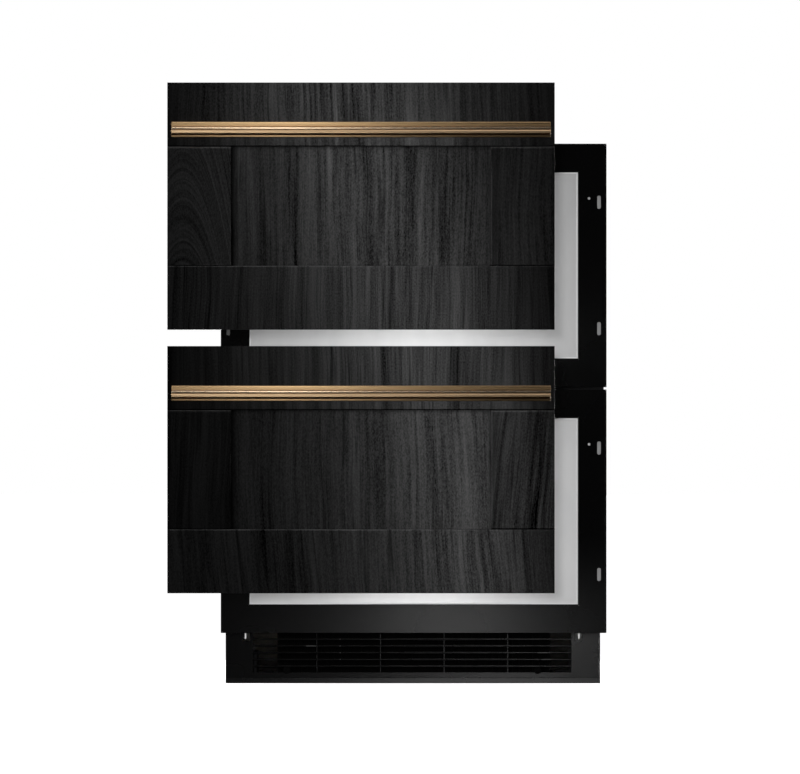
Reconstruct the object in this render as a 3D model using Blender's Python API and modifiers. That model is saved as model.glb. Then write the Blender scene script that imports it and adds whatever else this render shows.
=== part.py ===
"""An undercounter fridge with two drawers, each with a loose wooden front panel and a brass pull.

Run it with: blender --background --python part.py
Metres, +Z up. The front faces -Y, and the origin is the middle of the base pan's underside, on the floor.
At rest both drawers are shut, and both wooden panels stand in front of them, up and to the left
of their seats.
"""

import math

import bmesh
import bpy
from mathutils import Matrix, Vector

# Driving dimensions -------------------------------------------------------------------------------
GAP = 0.0003  # between two pieces that touch
SLIT = 0.0005  # between the base and the cabinet that stands on it

FRONT_WIDTH = 0.606
FRONT_HEIGHT = 0.3826
FRONT_REVEAL = 0.0035  # between the two drawer fronts
FRONTS_BOTTOM = 0.0795
FRONT_PITCH = FRONT_HEIGHT + FRONT_REVEAL
FRONT_Y = -0.322

CABINET_WIDTH = 0.598
CABINET_FRONT = -0.265
CABINET_BACK = 0.257
CABINET_BOTTOM = 0.085
CABINET_TOP = 0.8455
SHEET = 0.0012

BASE_WIDTH = 0.587
BASE_FRONT = -0.262
BASE_BACK = 0.2553
BASE_SHEET = 0.0015

OPENING_HALF_WIDTH = 0.260  # of the steel front, round both compartments
OPENING_BOTTOM = 0.104
OPENING_TOP = 0.824
MULLION_BOTTOM = 0.442
MULLION_TOP = 0.4857
MULLION_DEPTH = 0.030

LINER = 0.002
LINER_HALF_WIDTH = OPENING_HALF_WIDTH - 0.0005
UPPER_LINER_BACK = 0.212
LOWER_LINER_BACK = 0.170
STEP_Y = 0.020  # where the lower compartment's floor rises over the machine space
STEP_Z = 0.230
MACHINE_FRONT = 0.055
MACHINE_TOP = 0.195

FRAME_BORDER = 0.045
FRAME_SHEET = 0.0025
FRAME_DEPTH = 0.022
FRAME_WALL = 0.0015
SLOT_HEIGHT = 0.0205
SLOT_WIDTH = 0.0058
SLOT_FROM_SIDE = 0.0118
SLOT_FROM_END = 0.0920
PILOT_FROM_SIDE, PILOT_FROM_TOP, PILOT_RADIUS = 0.026, 0.086, 0.0024
CORE_HALF_WIDTH = 0.2825
CORE_BACK = -0.280
DOOR_LINER_BACK = -0.2772
PLUG_BACK = -0.2695
GASKET_HALF_WIDTH = 0.280
GASKET_INSET = 0.006
GASKET_BAR = 0.012

BIN_HALF_WIDTH = 0.2444
BIN_WALL = 0.0025
BIN_FRONT = PLUG_BACK + GAP
BIN_BACK = 0.112

DRAWER_TRAVEL = 0.38
RUNNER_FRONT = -0.262
RUNNER_BACK = 0.112
RUNNER_SHEET = 0.0012

PANEL_WIDTH = 0.602
PANEL_HEIGHT = 0.3842
PANEL_THICKNESS = 0.020
RAIL_WIDTH = 0.0995
GROOVE_DEPTH = 0.009
FIELD_THICKNESS = 0.009
FIELD_RECESS = 0.006
DISPLAY_FORWARD = 0.41  # how far a loose panel stands in front of its seat
DISPLAY_LEFT = 0.082
DISPLAY_UP = {"upper": 0.0902, "lower": 0.0667}

HANDLE_LENGTH = 0.5893
HANDLE_HEIGHT = 0.0245
HANDLE_DEPTH = 0.014
HANDLE_BELOW_TOP = 0.0609
HANDLE_STANDOFF = 0.022
HANDLE_POST_RADIUS = 0.0055
HANDLE_POST_FROM_END = 0.045

FOOT_X = 0.250
FOOT_FRONT_Y = -0.215
FOOT_BACK_Y = 0.218
FOOT_PAD_RADIUS = 0.018
FOOT_STUD_RADIUS = 0.004
FOOT_BRIDGE_TOP = 0.016

# The collections ----------------------------------------------------------------------------------
for old in list(bpy.data.objects):
    bpy.data.objects.remove(old)

fridge = bpy.data.collections.new("under_counter_fridge")
cutters = bpy.data.collections.new("cutters")
bpy.context.scene.collection.children.link(fridge)
bpy.context.scene.collection.children.link(cutters)


def make_material(name, colour, roughness, metallic=0.0):
    material = bpy.data.materials.new(name)
    material.use_nodes = True
    shader = material.node_tree.nodes["Principled BSDF"]
    shader.inputs["Base Color"].default_value = (*colour, 1.0)
    shader.inputs["Roughness"].default_value = roughness
    shader.inputs["Metallic"].default_value = metallic
    return material


BLACK_STEEL = make_material("black_steel", (0.012, 0.012, 0.013), 0.35)
GREY_STEEL = make_material("grey_steel", (0.55, 0.55, 0.55), 0.5)
BLACK_WOOD = make_material("black_wood", (0.018, 0.018, 0.019), 0.55)
BRASS = make_material("brass", (0.70, 0.48, 0.26), 0.28, 1.0)
WHITE_PLASTIC = make_material("white_plastic", (0.80, 0.81, 0.82), 0.4)
BLACK_PLASTIC = make_material("black_plastic", (0.015, 0.015, 0.016), 0.45)
FOAM = make_material("foam", (0.75, 0.66, 0.42), 0.9)
SEAL_RUBBER = make_material("seal_rubber", (0.10, 0.10, 0.105), 0.7)
ZINC = make_material("zinc", (0.62, 0.63, 0.65), 0.35, 1.0)
ALUMINIUM = make_material("aluminium", (0.70, 0.71, 0.72), 0.4, 1.0)


# Making solids ------------------------------------------------------------------------------------
def put(obj, material, body=None):
    """Puts the object in the fridge, on its body's empty."""
    fridge.objects.link(obj)
    obj.data.materials.append(material)
    if body is not None:
        obj.parent = body
        obj.location -= body.location
    return obj


def put_cutter(obj):
    cutters.objects.link(obj)
    obj.hide_render = True
    obj.display_type = "WIRE"
    return obj


def body_empty(name, location=(0.0, 0.0, 0.0)):
    """The empty that a moving body's pieces hang on."""
    empty = bpy.data.objects.new(name, None)
    empty.location = location
    fridge.objects.link(empty)
    return empty


def object_from(bm, name, location=(0.0, 0.0, 0.0)):
    bmesh.ops.recalc_face_normals(bm, faces=bm.faces)
    mesh = bpy.data.meshes.new(name)
    bm.to_mesh(mesh)
    bm.free()
    obj = bpy.data.objects.new(name, mesh)
    obj.location = location
    return obj


def block(name, low, high):
    """A box between two corners, with its origin in its middle."""
    low, high = Vector(low), Vector(high)
    bm = bmesh.new()
    bmesh.ops.create_cube(bm, size=1.0, matrix=Matrix.Diagonal((*(high - low), 1.0)))
    return object_from(bm, name, (low + high) / 2)


def open_block(name, low, high, open_axis, open_sign):
    """A box without the side that faces along the axis, for Solidify."""
    obj = block(name, low, high)
    bm = bmesh.new()
    bm.from_mesh(obj.data)
    gone = [f for f in bm.faces if f.normal[open_axis] * open_sign > 0.5]
    bmesh.ops.delete(bm, geom=gone, context="FACES")
    bm.to_mesh(obj.data)
    bm.free()
    return obj


def prism(name, outline, start, end, axis="X"):
    """An outline of (across, up) points drawn along X, or of (x, z) points drawn along Y."""
    bm = bmesh.new()
    if axis == "X":
        points = [(start, across, up) for across, up in outline]
        sweep = Vector((end - start, 0.0, 0.0))
    else:
        points = [(across, start, up) for across, up in outline]
        sweep = Vector((0.0, end - start, 0.0))
    face = bm.faces.new([bm.verts.new(point) for point in points])
    swept = bmesh.ops.extrude_face_region(bm, geom=[face])
    moved = [item for item in swept["geom"] if isinstance(item, bmesh.types.BMVert)]
    bmesh.ops.translate(bm, verts=moved, vec=sweep)
    return object_from(bm, name)


def cylinder(name, centre, radius, length, axis="Z", sides=24):
    """A closed cylinder about its centre."""
    turns = {
        "X": Matrix.Rotation(math.pi / 2, 4, "Y"),
        "Y": Matrix.Rotation(math.pi / 2, 4, "X"),
        "Z": Matrix.Identity(4),
    }
    bm = bmesh.new()
    bmesh.ops.create_cone(
        bm, cap_ends=True, segments=sides, radius1=radius, radius2=radius, depth=length, matrix=turns[axis]
    )
    return object_from(bm, name, centre)


def turned(name, profile, location, sides=20):
    """A profile of (radius, height) points, top to bottom, turned round Z."""
    bm = bmesh.new()
    points = [bm.verts.new((radius, 0.0, height)) for radius, height in profile]
    for first, second in zip(points, points[1:]):
        bm.edges.new((first, second))
    mesh = bpy.data.meshes.new(name)
    bm.to_mesh(mesh)
    bm.free()
    obj = bpy.data.objects.new(name, mesh)
    obj.location = location
    screw = obj.modifiers.new("turn", "SCREW")
    screw.steps = sides
    screw.render_steps = sides
    screw.use_merge_vertices = True
    screw.merge_threshold = 0.0001
    return obj


def tube(name, points, radius, sides_level=2):
    """A round bar or pipe along the points."""
    curve = bpy.data.curves.new(name, "CURVE")
    curve.dimensions = "3D"
    curve.bevel_depth = radius
    curve.bevel_resolution = sides_level
    curve.use_fill_caps = True
    spline = curve.splines.new("POLY")
    spline.points.add(len(points) - 1)
    for point, place in zip(spline.points, points):
        point.co = (*place, 1.0)
    return bpy.data.objects.new(name, curve)


def thicken(obj, thickness, offset):
    """Gives an open surface its wall. Offset 1 grows outwards, and -1 inwards."""
    wall = obj.modifiers.new("wall", "SOLIDIFY")
    wall.thickness = thickness
    wall.offset = offset
    wall.use_even_offset = True
    return obj


def bevel(obj, width, segments=2):
    edge = obj.modifiers.new("edges", "BEVEL")
    edge.width = width
    edge.segments = segments
    edge.limit_method = "ANGLE"
    edge.angle_limit = math.radians(40)
    return obj


def repeat(obj, count, step):
    row = obj.modifiers.new("row", "ARRAY")
    row.count = count
    row.use_relative_offset = False
    row.use_constant_offset = True
    row.constant_offset_displace = step
    return obj


def combine(obj, other, operation):
    change = obj.modifiers.new(operation.lower(), "BOOLEAN")
    change.operation = operation
    change.solver = "EXACT"
    change.object = put_cutter(other)
    return obj


def cut(obj, *others):
    for other in others:
        combine(obj, other, "DIFFERENCE")
    return obj


def join(obj, *others):
    for other in others:
        combine(obj, other, "UNION")
    return obj


def smooth(obj):
    obj.data.shade_smooth()
    obj.data.set_sharp_from_angle(angle=math.radians(35))
    return obj


# The base -----------------------------------------------------------------------------------------
def foot_places():
    return {
        "front_left": (-FOOT_X, FOOT_FRONT_Y),
        "front_right": (FOOT_X, FOOT_FRONT_Y),
        "back_left": (-FOOT_X, FOOT_BACK_Y),
        "back_right": (FOOT_X, FOOT_BACK_Y),
    }


def make_base_pan():
    """A channel of sheet steel: a floor and two sides, with lips on top and a bridge over each foot."""
    half = BASE_WIDTH / 2
    top = CABINET_BOTTOM - SLIT
    lip = half + 0.004
    floor, inner = BASE_SHEET, half - BASE_SHEET
    outline = [
        (-half, 0.0),
        (half, 0.0),
        (half, top - floor),
        (lip, top - floor),
        (lip, top),
        (inner, top),
        (inner, floor),
        (-inner, floor),
        (-inner, top),
        (-lip, top),
        (-lip, top - floor),
        (-half, top - floor),
    ]
    pan = prism("base_pan", outline, BASE_FRONT, BASE_BACK, axis="Y")
    bridge_half = FOOT_PAD_RADIUS + 0.009
    for name, (x, y) in foot_places().items():
        bridge = block(
            f"{name}_bridge",
            (x - bridge_half, y - bridge_half, BASE_SHEET / 2),
            (x + bridge_half, y + bridge_half, FOOT_BRIDGE_TOP),
        )
        inside = block(
            f"{name}_bridge_inside",
            (x - bridge_half + 0.002, y - 2 * bridge_half, -0.001),
            (x + bridge_half - 0.002, y + 2 * bridge_half, FOOT_BRIDGE_TOP - 0.002),
        )
        cut(bridge, inside)
        join(pan, bridge)
        cut(
            pan,
            cylinder(f"{name}_pad_hole", (x, y, 0.0), FOOT_PAD_RADIUS + 0.002, 0.01),
            cylinder(f"{name}_stud_hole", (x, y, FOOT_BRIDGE_TOP), FOOT_STUD_RADIUS + GAP, 0.01, sides=16),
        )
    put(pan, BLACK_STEEL)


def make_foot(name, x, y):
    """A levelling foot, screwed right up. Its stud runs through the bridge in the base pan."""
    pad_top, stud_top, nut_top = 0.006, 0.048, 0.011
    profile = [
        (0.0, stud_top),
        (FOOT_STUD_RADIUS - 0.0008, stud_top),
        (FOOT_STUD_RADIUS, stud_top - 0.001),
        (FOOT_STUD_RADIUS, nut_top),
        (0.0085, nut_top),
        (0.0085, pad_top),
        (FOOT_PAD_RADIUS - 0.001, pad_top),
        (FOOT_PAD_RADIUS, pad_top - 0.001),
        (FOOT_PAD_RADIUS, 0.001),
        (FOOT_PAD_RADIUS - 0.001, 0.0),
        (0.0, 0.0),
    ]
    body = body_empty(f"{name}_travel", (x, y, 0.0))
    put(smooth(turned(name, profile, (x, y, 0.0), sides=16)), BLACK_PLASTIC, body)


KICK_FRONT = -0.266
KICK_SHIFT = -0.0022  # the plinth has a little play sideways
KICK_SHEET = 0.0020
KICK_TOP = CABINET_BOTTOM - SLIT
KICK_LIP = 0.0098  # height of the folded lip along the floor
GRILLE_COLUMNS, GRILLE_ROWS = 5, 6
GRILLE_HALF_WIDTH = 0.2503
GRILLE_BOTTOM, GRILLE_TOP = 0.0171, 0.0809
GRILLE_BAR = 0.0018
KICK_NOTCH_X = 0.2610
KICK_SCREW_X = 0.1972
KICK_SCREW_Z = 0.0205
KICK_TAB_HALF_WIDTH, KICK_TAB_TOP = 0.0058, 0.0290


def make_kick_plate():
    """The plinth under the drawers, with its air grille and a notch for each spring clip."""
    back = KICK_FRONT + KICK_SHEET
    lip_front = KICK_FRONT - 0.0035
    outline = [
        (KICK_FRONT, KICK_TOP),
        (KICK_FRONT, KICK_LIP),
        (lip_front, GAP),
        (lip_front + KICK_SHEET, GAP),
        (back, KICK_LIP),
        (back, KICK_TOP),
    ]
    half = BASE_WIDTH / 2
    plate = prism("kick_plate", outline, -half + KICK_SHIFT, half + KICK_SHIFT)
    column = 2 * GRILLE_HALF_WIDTH / GRILLE_COLUMNS
    row = (GRILLE_TOP - GRILLE_BOTTOM) / GRILLE_ROWS
    first = KICK_SHIFT - GRILLE_HALF_WIDTH
    slot = block(
        "grille_slots",
        (first + GRILLE_BAR / 2, KICK_FRONT - 0.01, GRILLE_BOTTOM),
        (first + column - GRILLE_BAR / 2, back + 0.01, GRILLE_BOTTOM + row - GRILLE_BAR),
    )
    repeat(slot, GRILLE_COLUMNS, (column, 0.0, 0.0))
    repeat(slot, GRILLE_ROWS, (0.0, 0.0, row))
    cut(plate, slot)
    for side, hand in ((-1, "left"), (1, "right")):
        notch_x = KICK_SHIFT + side * KICK_NOTCH_X
        notch = block(
            f"clip_notch_{hand}",
            (notch_x - 0.006, KICK_FRONT - 0.01, 0.0655),
            (notch_x + 0.006, back + 0.01, KICK_TOP + 0.012),
        )
        cut(plate, bevel(notch, 0.004))
        screw_x = KICK_SHIFT + side * KICK_SCREW_X
        tab = block(
            f"screw_tab_{hand}",
            (screw_x - KICK_TAB_HALF_WIDTH, KICK_FRONT + 0.0001, GRILLE_BOTTOM - 0.003),
            (screw_x + KICK_TAB_HALF_WIDTH, back - 0.0001, KICK_TAB_TOP),
        )
        join(plate, tab)
        hole = cylinder(
            f"screw_hole_{hand}",
            (screw_x, KICK_FRONT, KICK_SCREW_Z),
            0.0024,
            0.02,
            axis="Y",
            sides=12,
        )
        cut(plate, hole)
    put(plate, BLACK_STEEL)


def make_kick_screw(name, x):
    """A domed screw that holds the plinth to the base pan."""
    head, shank, length = 0.0046, 0.0018, 0.012
    profile = [
        (0.0, 0.0028),
        (head * 0.55, 0.0024),
        (head * 0.9, 0.0014),
        (head, GAP),
        (shank, GAP),
        (shank, -length),
        (0.0, -length),
    ]
    screw = turned(name, profile, (x, KICK_FRONT, KICK_SCREW_Z), sides=14)
    screw.rotation_euler = (math.radians(90), 0.0, 0.0)
    put(smooth(screw), BLACK_PLASTIC)


# The cabinet --------------------------------------------------------------------------------------
def make_shell():
    """Steel sides, top and front flange in one: a box open at the back and below."""
    half = CABINET_WIDTH / 2
    shell = block(
        "cabinet_shell",
        (-half, CABINET_FRONT, CABINET_BOTTOM),
        (half, CABINET_BACK - SHEET, CABINET_TOP),
    )
    inside = block(
        "shell_inside",
        (-half + SHEET, CABINET_FRONT + SHEET, CABINET_BOTTOM - 0.01),
        (half - SHEET, CABINET_BACK + 0.01, CABINET_TOP - SHEET),
    )
    window = block(
        "shell_window",
        (-OPENING_HALF_WIDTH, CABINET_FRONT - 0.01, OPENING_BOTTOM),
        (OPENING_HALF_WIDTH, CABINET_FRONT + 0.01, OPENING_TOP),
    )
    put(cut(shell, inside, window), BLACK_STEEL)


def upper_cavity(name, grow):
    """The upper compartment's outside, grown by a gap on every side but the front."""
    half = LINER_HALF_WIDTH + grow
    return block(
        name,
        (-half, CABINET_FRONT, MULLION_TOP + 0.0005 - grow),
        (half, UPPER_LINER_BACK + grow, OPENING_TOP - 0.0005 + grow),
    )


def lower_cavity(name, grow):
    """The lower compartment's outside: its floor rises over the machine space."""
    bottom, top = OPENING_BOTTOM + 0.0005 - grow, MULLION_BOTTOM - 0.0005 + grow
    outline = [
        (CABINET_FRONT, top),
        (CABINET_FRONT, bottom),
        (STEP_Y + grow, bottom),
        (STEP_Y + grow, STEP_Z - grow),
        (LOWER_LINER_BACK + grow, STEP_Z - grow),
        (LOWER_LINER_BACK + grow, top),
    ]
    half = LINER_HALF_WIDTH + grow
    return prism(name, outline, -half, half)


def make_liners():
    """The two white inner compartments, open to the front."""
    for cavity, name in ((upper_cavity, "upper_liner"), (lower_cavity, "lower_liner")):
        liner = cavity(name, 0.0)
        bm = bmesh.new()
        bm.from_mesh(liner.data)
        front = [f for f in bm.faces if f.normal.y < -0.5]
        bmesh.ops.delete(bm, geom=front, context="FACES")
        bm.to_mesh(liner.data)
        bm.free()
        put(thicken(liner, LINER, -1.0), WHITE_PLASTIC)


def make_insulation():
    """The foam between the steel shell and the two liners, cut away over the machine space."""
    half = CABINET_WIDTH / 2 - SHEET - GAP
    front = CABINET_FRONT + SHEET + GAP
    back = CABINET_BACK - SHEET - GAP
    top = CABINET_TOP - SHEET - GAP
    foam = block("insulation", (-half, front, CABINET_BOTTOM), (half, back, top))
    machine = block(
        "machine_space",
        (-half - 0.01, MACHINE_FRONT, CABINET_BOTTOM - 0.01),
        (half + 0.01, back + 0.01, MACHINE_TOP),
    )
    upper = upper_cavity("upper_foam_cut", GAP)
    lower = lower_cavity("lower_foam_cut", GAP)
    for cavity in (upper, lower):
        for vertex in cavity.data.vertices:
            if abs(vertex.co.y + cavity.location.y - CABINET_FRONT) < GAP:
                vertex.co.y -= 0.01
    rail = block(
        "mullion_room",
        (-LINER_HALF_WIDTH - GAP, front - 0.01, MULLION_BOTTOM - 0.001),
        (LINER_HALF_WIDTH + GAP, CABINET_FRONT + MULLION_DEPTH + GAP, MULLION_TOP + 0.001),
    )
    put(cut(foam, machine, upper, lower, rail), FOAM)


def make_mullion():
    """The steel rail between the two compartments, which both seals press on."""
    half = LINER_HALF_WIDTH - GAP
    rail = block(
        "mullion",
        (-half, CABINET_FRONT, MULLION_BOTTOM),
        (half, CABINET_FRONT + MULLION_DEPTH, MULLION_TOP),
    )
    put(rail, BLACK_STEEL)


CORD_X, CORD_Z = -0.215, 0.135
CORD_HOLE_RADIUS = 0.009


def make_back_panel():
    """The rear sheet, narrower beside the base, with rows of vents over the machine space."""
    half, base_half = CABINET_WIDTH / 2 - 0.0015, BASE_WIDTH / 2 - BASE_SHEET
    outline = [
        (-base_half, 0.006),
        (base_half, 0.006),
        (base_half, CABINET_BOTTOM),
        (half, CABINET_BOTTOM),
        (half, CABINET_TOP - 0.0015),
        (-half, CABINET_TOP - 0.0015),
        (-half, CABINET_BOTTOM),
        (-base_half, CABINET_BOTTOM),
    ]
    front = CABINET_BACK - SHEET + GAP
    panel = prism("back_panel", outline, front, front + SHEET, axis="Y")
    vent = block("back_vents", (-0.130, front - 0.01, 0.030), (-0.060, front + 0.02, 0.036))
    repeat(vent, 4, (0.092, 0.0, 0.0))
    repeat(vent, 8, (0.0, 0.0, 0.018))
    hole = cylinder("cord_hole", (CORD_X, front, CORD_Z), CORD_HOLE_RADIUS + GAP, 0.03, axis="Y", sides=20)
    put(cut(panel, vent, hole), GREY_STEEL)


def make_cord_inlet():
    """The strain relief that the mains lead would leave through."""
    front = CABINET_BACK + 2 * GAP
    flange, length = 0.013, 0.028
    profile = [
        (0.0, length),
        (0.0062, length),
        (0.0072, 0.004),
        (flange, 0.003),
        (flange, 0.0),
        (CORD_HOLE_RADIUS, 0.0),
        (CORD_HOLE_RADIUS, -0.008),
        (0.0, -0.008),
    ]
    inlet = turned("cord_inlet", profile, (CORD_X, front, CORD_Z), sides=18)
    inlet.rotation_euler = (math.radians(-90), 0.0, 0.0)
    put(smooth(inlet), BLACK_PLASTIC)


# The cold side ------------------------------------------------------------------------------------
COVER_FRONT = 0.150
COVER_SHEET = 0.0025
COLD_FAN_Z = 0.735
COLD_FAN_RADIUS = 0.046


def spider(name, centre, axis, inner, outer, start, end, arms, width):
    """A motor can with arms that reach out to a ring's edge, drawn along Y or X."""
    length = end - start
    middle = (start + end) / 2
    along = Vector((0, middle, 0)) if axis == "Y" else Vector((middle, 0, 0))
    can = cylinder(name, Vector(centre) + along, inner, length, axis=axis, sides=20)
    for index in range(arms):
        angle = 2 * math.pi * (index + 0.5) / arms
        size = (0.004, outer, width) if axis == "X" else (outer, 0.004, width)
        arm = block(f"{name}_arm_{index}", (0, 0, 0), size)
        reach = Vector(size) / 2
        for vertex in arm.data.vertices:
            vertex.co.y += reach.y if axis == "X" else 0.0
            vertex.co.x += reach.x if axis == "Y" else 0.0
        arm.location = Vector(centre) + along
        turn = angle if axis == "X" else -angle
        arm.rotation_euler = (turn, 0.0, 0.0) if axis == "X" else (0.0, turn, 0.0)
        join(can, arm)
    return can


def make_evaporator_cover():
    """The plate behind the upper drawer, with the cold fan's hole, its motor bracket and return vents."""
    half = LINER_HALF_WIDTH - LINER - 0.0005
    back = COVER_FRONT + COVER_SHEET
    low = MULLION_TOP + 0.0005 + LINER + GAP
    high = OPENING_TOP - 0.0005 - LINER - GAP
    cover = block("evaporator_cover", (-half, COVER_FRONT, low), (half, back, high))
    hole = cylinder(
        "cold_fan_hole",
        (0, COVER_FRONT, COLD_FAN_Z),
        COLD_FAN_RADIUS + 0.004,
        0.02,
        axis="Y",
        sides=32,
    )
    vent = block("return_vents", (-0.200, COVER_FRONT - 0.01, 0.512), (-0.140, back + 0.01, 0.518))
    repeat(vent, 5, (0.085, 0.0, 0.0))
    repeat(vent, 3, (0.0, 0.0, 0.014))
    cut(cover, hole, vent)
    for index, angle in enumerate((math.radians(60), math.radians(180), math.radians(300))):
        x = math.cos(angle) * (COLD_FAN_RADIUS + 0.010)
        z = COLD_FAN_Z + math.sin(angle) * (COLD_FAN_RADIUS + 0.010)
        post = cylinder(f"motor_post_{index}", (x, back + 0.014, z), 0.003, 0.030, axis="Y", sides=10)
        join(cover, post)
    bracket = spider(
        "motor_bracket",
        (0.0, 0.0, COLD_FAN_Z),
        "Y",
        0.018,
        COLD_FAN_RADIUS + 0.010,
        back + 0.0185,
        back + 0.036,
        3,
        0.008,
    )
    put(join(cover, bracket), WHITE_PLASTIC)


def fan(name, centre, axis, radius, depth, blades, material):
    """A hub with pitched blades, turning about its own origin."""
    hub = cylinder(name, (0.0, 0.0, 0.0), radius * 0.28, depth, sides=18)
    for index in range(blades):
        blade = block(
            f"{name}_blade_{index}",
            (0.0, -radius * 0.30, -0.0008),
            (radius * 0.85, radius * 0.30, 0.0008),
        )
        for vertex in blade.data.vertices:
            vertex.co.x += radius * 0.425 + radius * 0.14
            vertex.co.y *= 0.55 + 0.45 * (vertex.co.x / radius)
        blade.location = (0.0, 0.0, 0.0)
        blade.rotation_mode = "QUATERNION"
        around = Matrix.Rotation(2 * math.pi * index / blades, 4, "Z")
        pitch = Matrix.Rotation(math.radians(24), 4, "X")
        blade.rotation_quaternion = (around @ pitch).to_quaternion()
        join(hub, blade)
    rotor = apply_modifiers(hub, name)
    turn = Matrix.Rotation(math.pi / 2, 4, "X" if axis == "Y" else "Y")
    rotor.data.transform(turn)
    body = body_empty(f"{name}_axis", centre)
    rotor.location = centre
    put(rotor, material, body)


def apply_modifiers(obj, name):
    """The object's evaluated shape as a plain mesh object, with the helper left out."""
    cutters.objects.link(obj)
    bpy.context.view_layer.update()
    graph = bpy.context.evaluated_depsgraph_get()
    mesh = bpy.data.meshes.new_from_object(obj.evaluated_get(graph))
    bpy.data.objects.remove(obj)
    mesh.name = name
    return bpy.data.objects.new(name, mesh)


def serpentine(name, low, high, passes, radius, material, upright):
    """A pipe that runs to and fro in X, stepping up in Z or back in Y, round half-circle bends."""
    (x0, y0, z0), (x1, y1, z1) = low, high
    rise = (z1 - z0) / (passes - 1) if upright else (y1 - y0) / (passes - 1)
    points = []
    for index in range(passes):
        ends = (x0, x1) if index % 2 == 0 else (x1, x0)
        level = index * rise
        for x in ends:
            points.append((x, y0, z0 + level) if upright else (x, y0 + level, z0))
        if index == passes - 1:
            continue
        side = 1 if ends[1] == x1 else -1
        for step in range(1, 4):
            angle = -math.pi / 2 + math.pi * step / 4
            out = side * math.cos(angle) * rise / 2
            up = level + rise / 2 + math.sin(angle) * rise / 2
            points.append((ends[1] + out, y0, z0 + up) if upright else (ends[1] + out, y0 + up, z0))
    put(smooth_tube(tube(name, points, radius, sides_level=1)), material)


def smooth_tube(obj):
    for spline in obj.data.splines:
        spline.use_smooth = True
    return obj


# The machine space --------------------------------------------------------------------------------
COMPRESSOR_X, COMPRESSOR_Y = 0.140, 0.130
HOT_FAN_X, HOT_FAN_Y, HOT_FAN_Z = 0.030, 0.155, 0.086
HOT_FAN_RADIUS = 0.056


def make_compressor():
    """A hermetic pot on a mounting plate."""
    bottom = BASE_SHEET + GAP
    radius, top = 0.068, 0.158
    profile = [(0.0, top)]
    for step in range(1, 6):
        angle = math.pi / 2 * step / 5
        profile.append((radius * math.sin(angle), top - 0.045 * (1 - math.cos(angle))))
    profile += [
        (radius, 0.092),
        (radius + 0.003, 0.090),
        (radius + 0.003, 0.084),
        (radius, 0.082),
        (radius, 0.045),
        (radius * 0.8, 0.028),
        (radius * 0.5, 0.022),
        (0.0, 0.022),
    ]
    pot = turned("compressor", profile, (COMPRESSOR_X, COMPRESSOR_Y, bottom), sides=24)
    plate = block(
        "compressor_plate",
        (COMPRESSOR_X - 0.080, COMPRESSOR_Y - 0.060, bottom + 0.012),
        (COMPRESSOR_X + 0.080, COMPRESSOR_Y + 0.060, bottom + 0.016),
    )
    join(pot, plate)
    column = cylinder("compressor_column", (COMPRESSOR_X, COMPRESSOR_Y, bottom + 0.02), 0.03, 0.016)
    join(pot, column)
    for index, (dx, dy) in enumerate(((-0.070, -0.050), (0.070, -0.050), (-0.070, 0.050), (0.070, 0.050))):
        grommet = cylinder(
            f"compressor_grommet_{index}",
            (COMPRESSOR_X + dx, COMPRESSOR_Y + dy, bottom + 0.0075),
            0.009,
            0.015,
            sides=14,
        )
        join(pot, grommet)
    put(smooth(pot), BLACK_STEEL)


def make_fan_frame():
    """A square shroud that stands on the base pan, with the fan's motor on a spider."""
    half, depth = 0.0640, 0.020
    low = HOT_FAN_Z - half
    frame = block(
        "condenser_fan_frame",
        (HOT_FAN_X - depth / 2, HOT_FAN_Y - half, low),
        (HOT_FAN_X + depth / 2, HOT_FAN_Y + half, HOT_FAN_Z + half),
    )
    centre = (HOT_FAN_X, HOT_FAN_Y, HOT_FAN_Z)
    cut(frame, cylinder("hot_fan_hole", centre, HOT_FAN_RADIUS + 0.003, 0.05, axis="X", sides=32))
    for side in (-1, 1):
        leg = block(
            f"fan_leg_{side}",
            (HOT_FAN_X - depth / 2, HOT_FAN_Y + side * 0.045 - 0.008, BASE_SHEET + GAP),
            (HOT_FAN_X + depth / 2, HOT_FAN_Y + side * 0.045 + 0.008, low + 0.004),
        )
        join(frame, leg)
    bracket = spider(
        "hot_motor",
        (0.0, HOT_FAN_Y, HOT_FAN_Z),
        "X",
        0.019,
        HOT_FAN_RADIUS + 0.006,
        HOT_FAN_X + 0.004,
        HOT_FAN_X + 0.016,
        4,
        0.006,
    )
    put(join(frame, bracket), BLACK_PLASTIC)


def make_condenser():
    """A fin pack behind the grille: upright fins on a solid spine."""
    low = Vector((-0.215, -0.120, BASE_SHEET + GAP))
    high = Vector((0.215, -0.075, 0.078))
    pack = block("condenser", low, high)
    fins = 40
    step = (high.x - low.x - 0.006) / fins
    slot = block(
        "fin_slots",
        (low.x + 0.006, low.y - 0.01, low.z + 0.006),
        (low.x + step, high.y - 0.012, high.z + 0.01),
    )
    repeat(slot, fins, (step, 0.0, 0.0))
    put(cut(pack, slot), BLACK_STEEL)


def make_drain_pan():
    """The tray that catches the defrost water, to the left of the fan."""
    low = (-0.215, 0.085, BASE_SHEET + GAP)
    high = (-0.050, 0.235, 0.045)
    pan = open_block("drain_pan", low, high, 2, 1)
    put(thicken(pan, 0.002, -1.0), BLACK_PLASTIC)


# The controls -------------------------------------------------------------------------------------
PANEL_TOP = OPENING_TOP - 0.0005 - LINER - GAP
CONTROL_HALF_WIDTH = 0.085
CONTROL_HEIGHT = 0.019
BUTTON_X = 0.030
BUTTON_WIDTH, BUTTON_HEIGHT, BUTTON_LENGTH = 0.014, 0.007, 0.007
BUTTON_PROUD = 0.0015
BUTTON_TRAVEL = 0.001
CONTROL_FRONT = -0.2640


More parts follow.
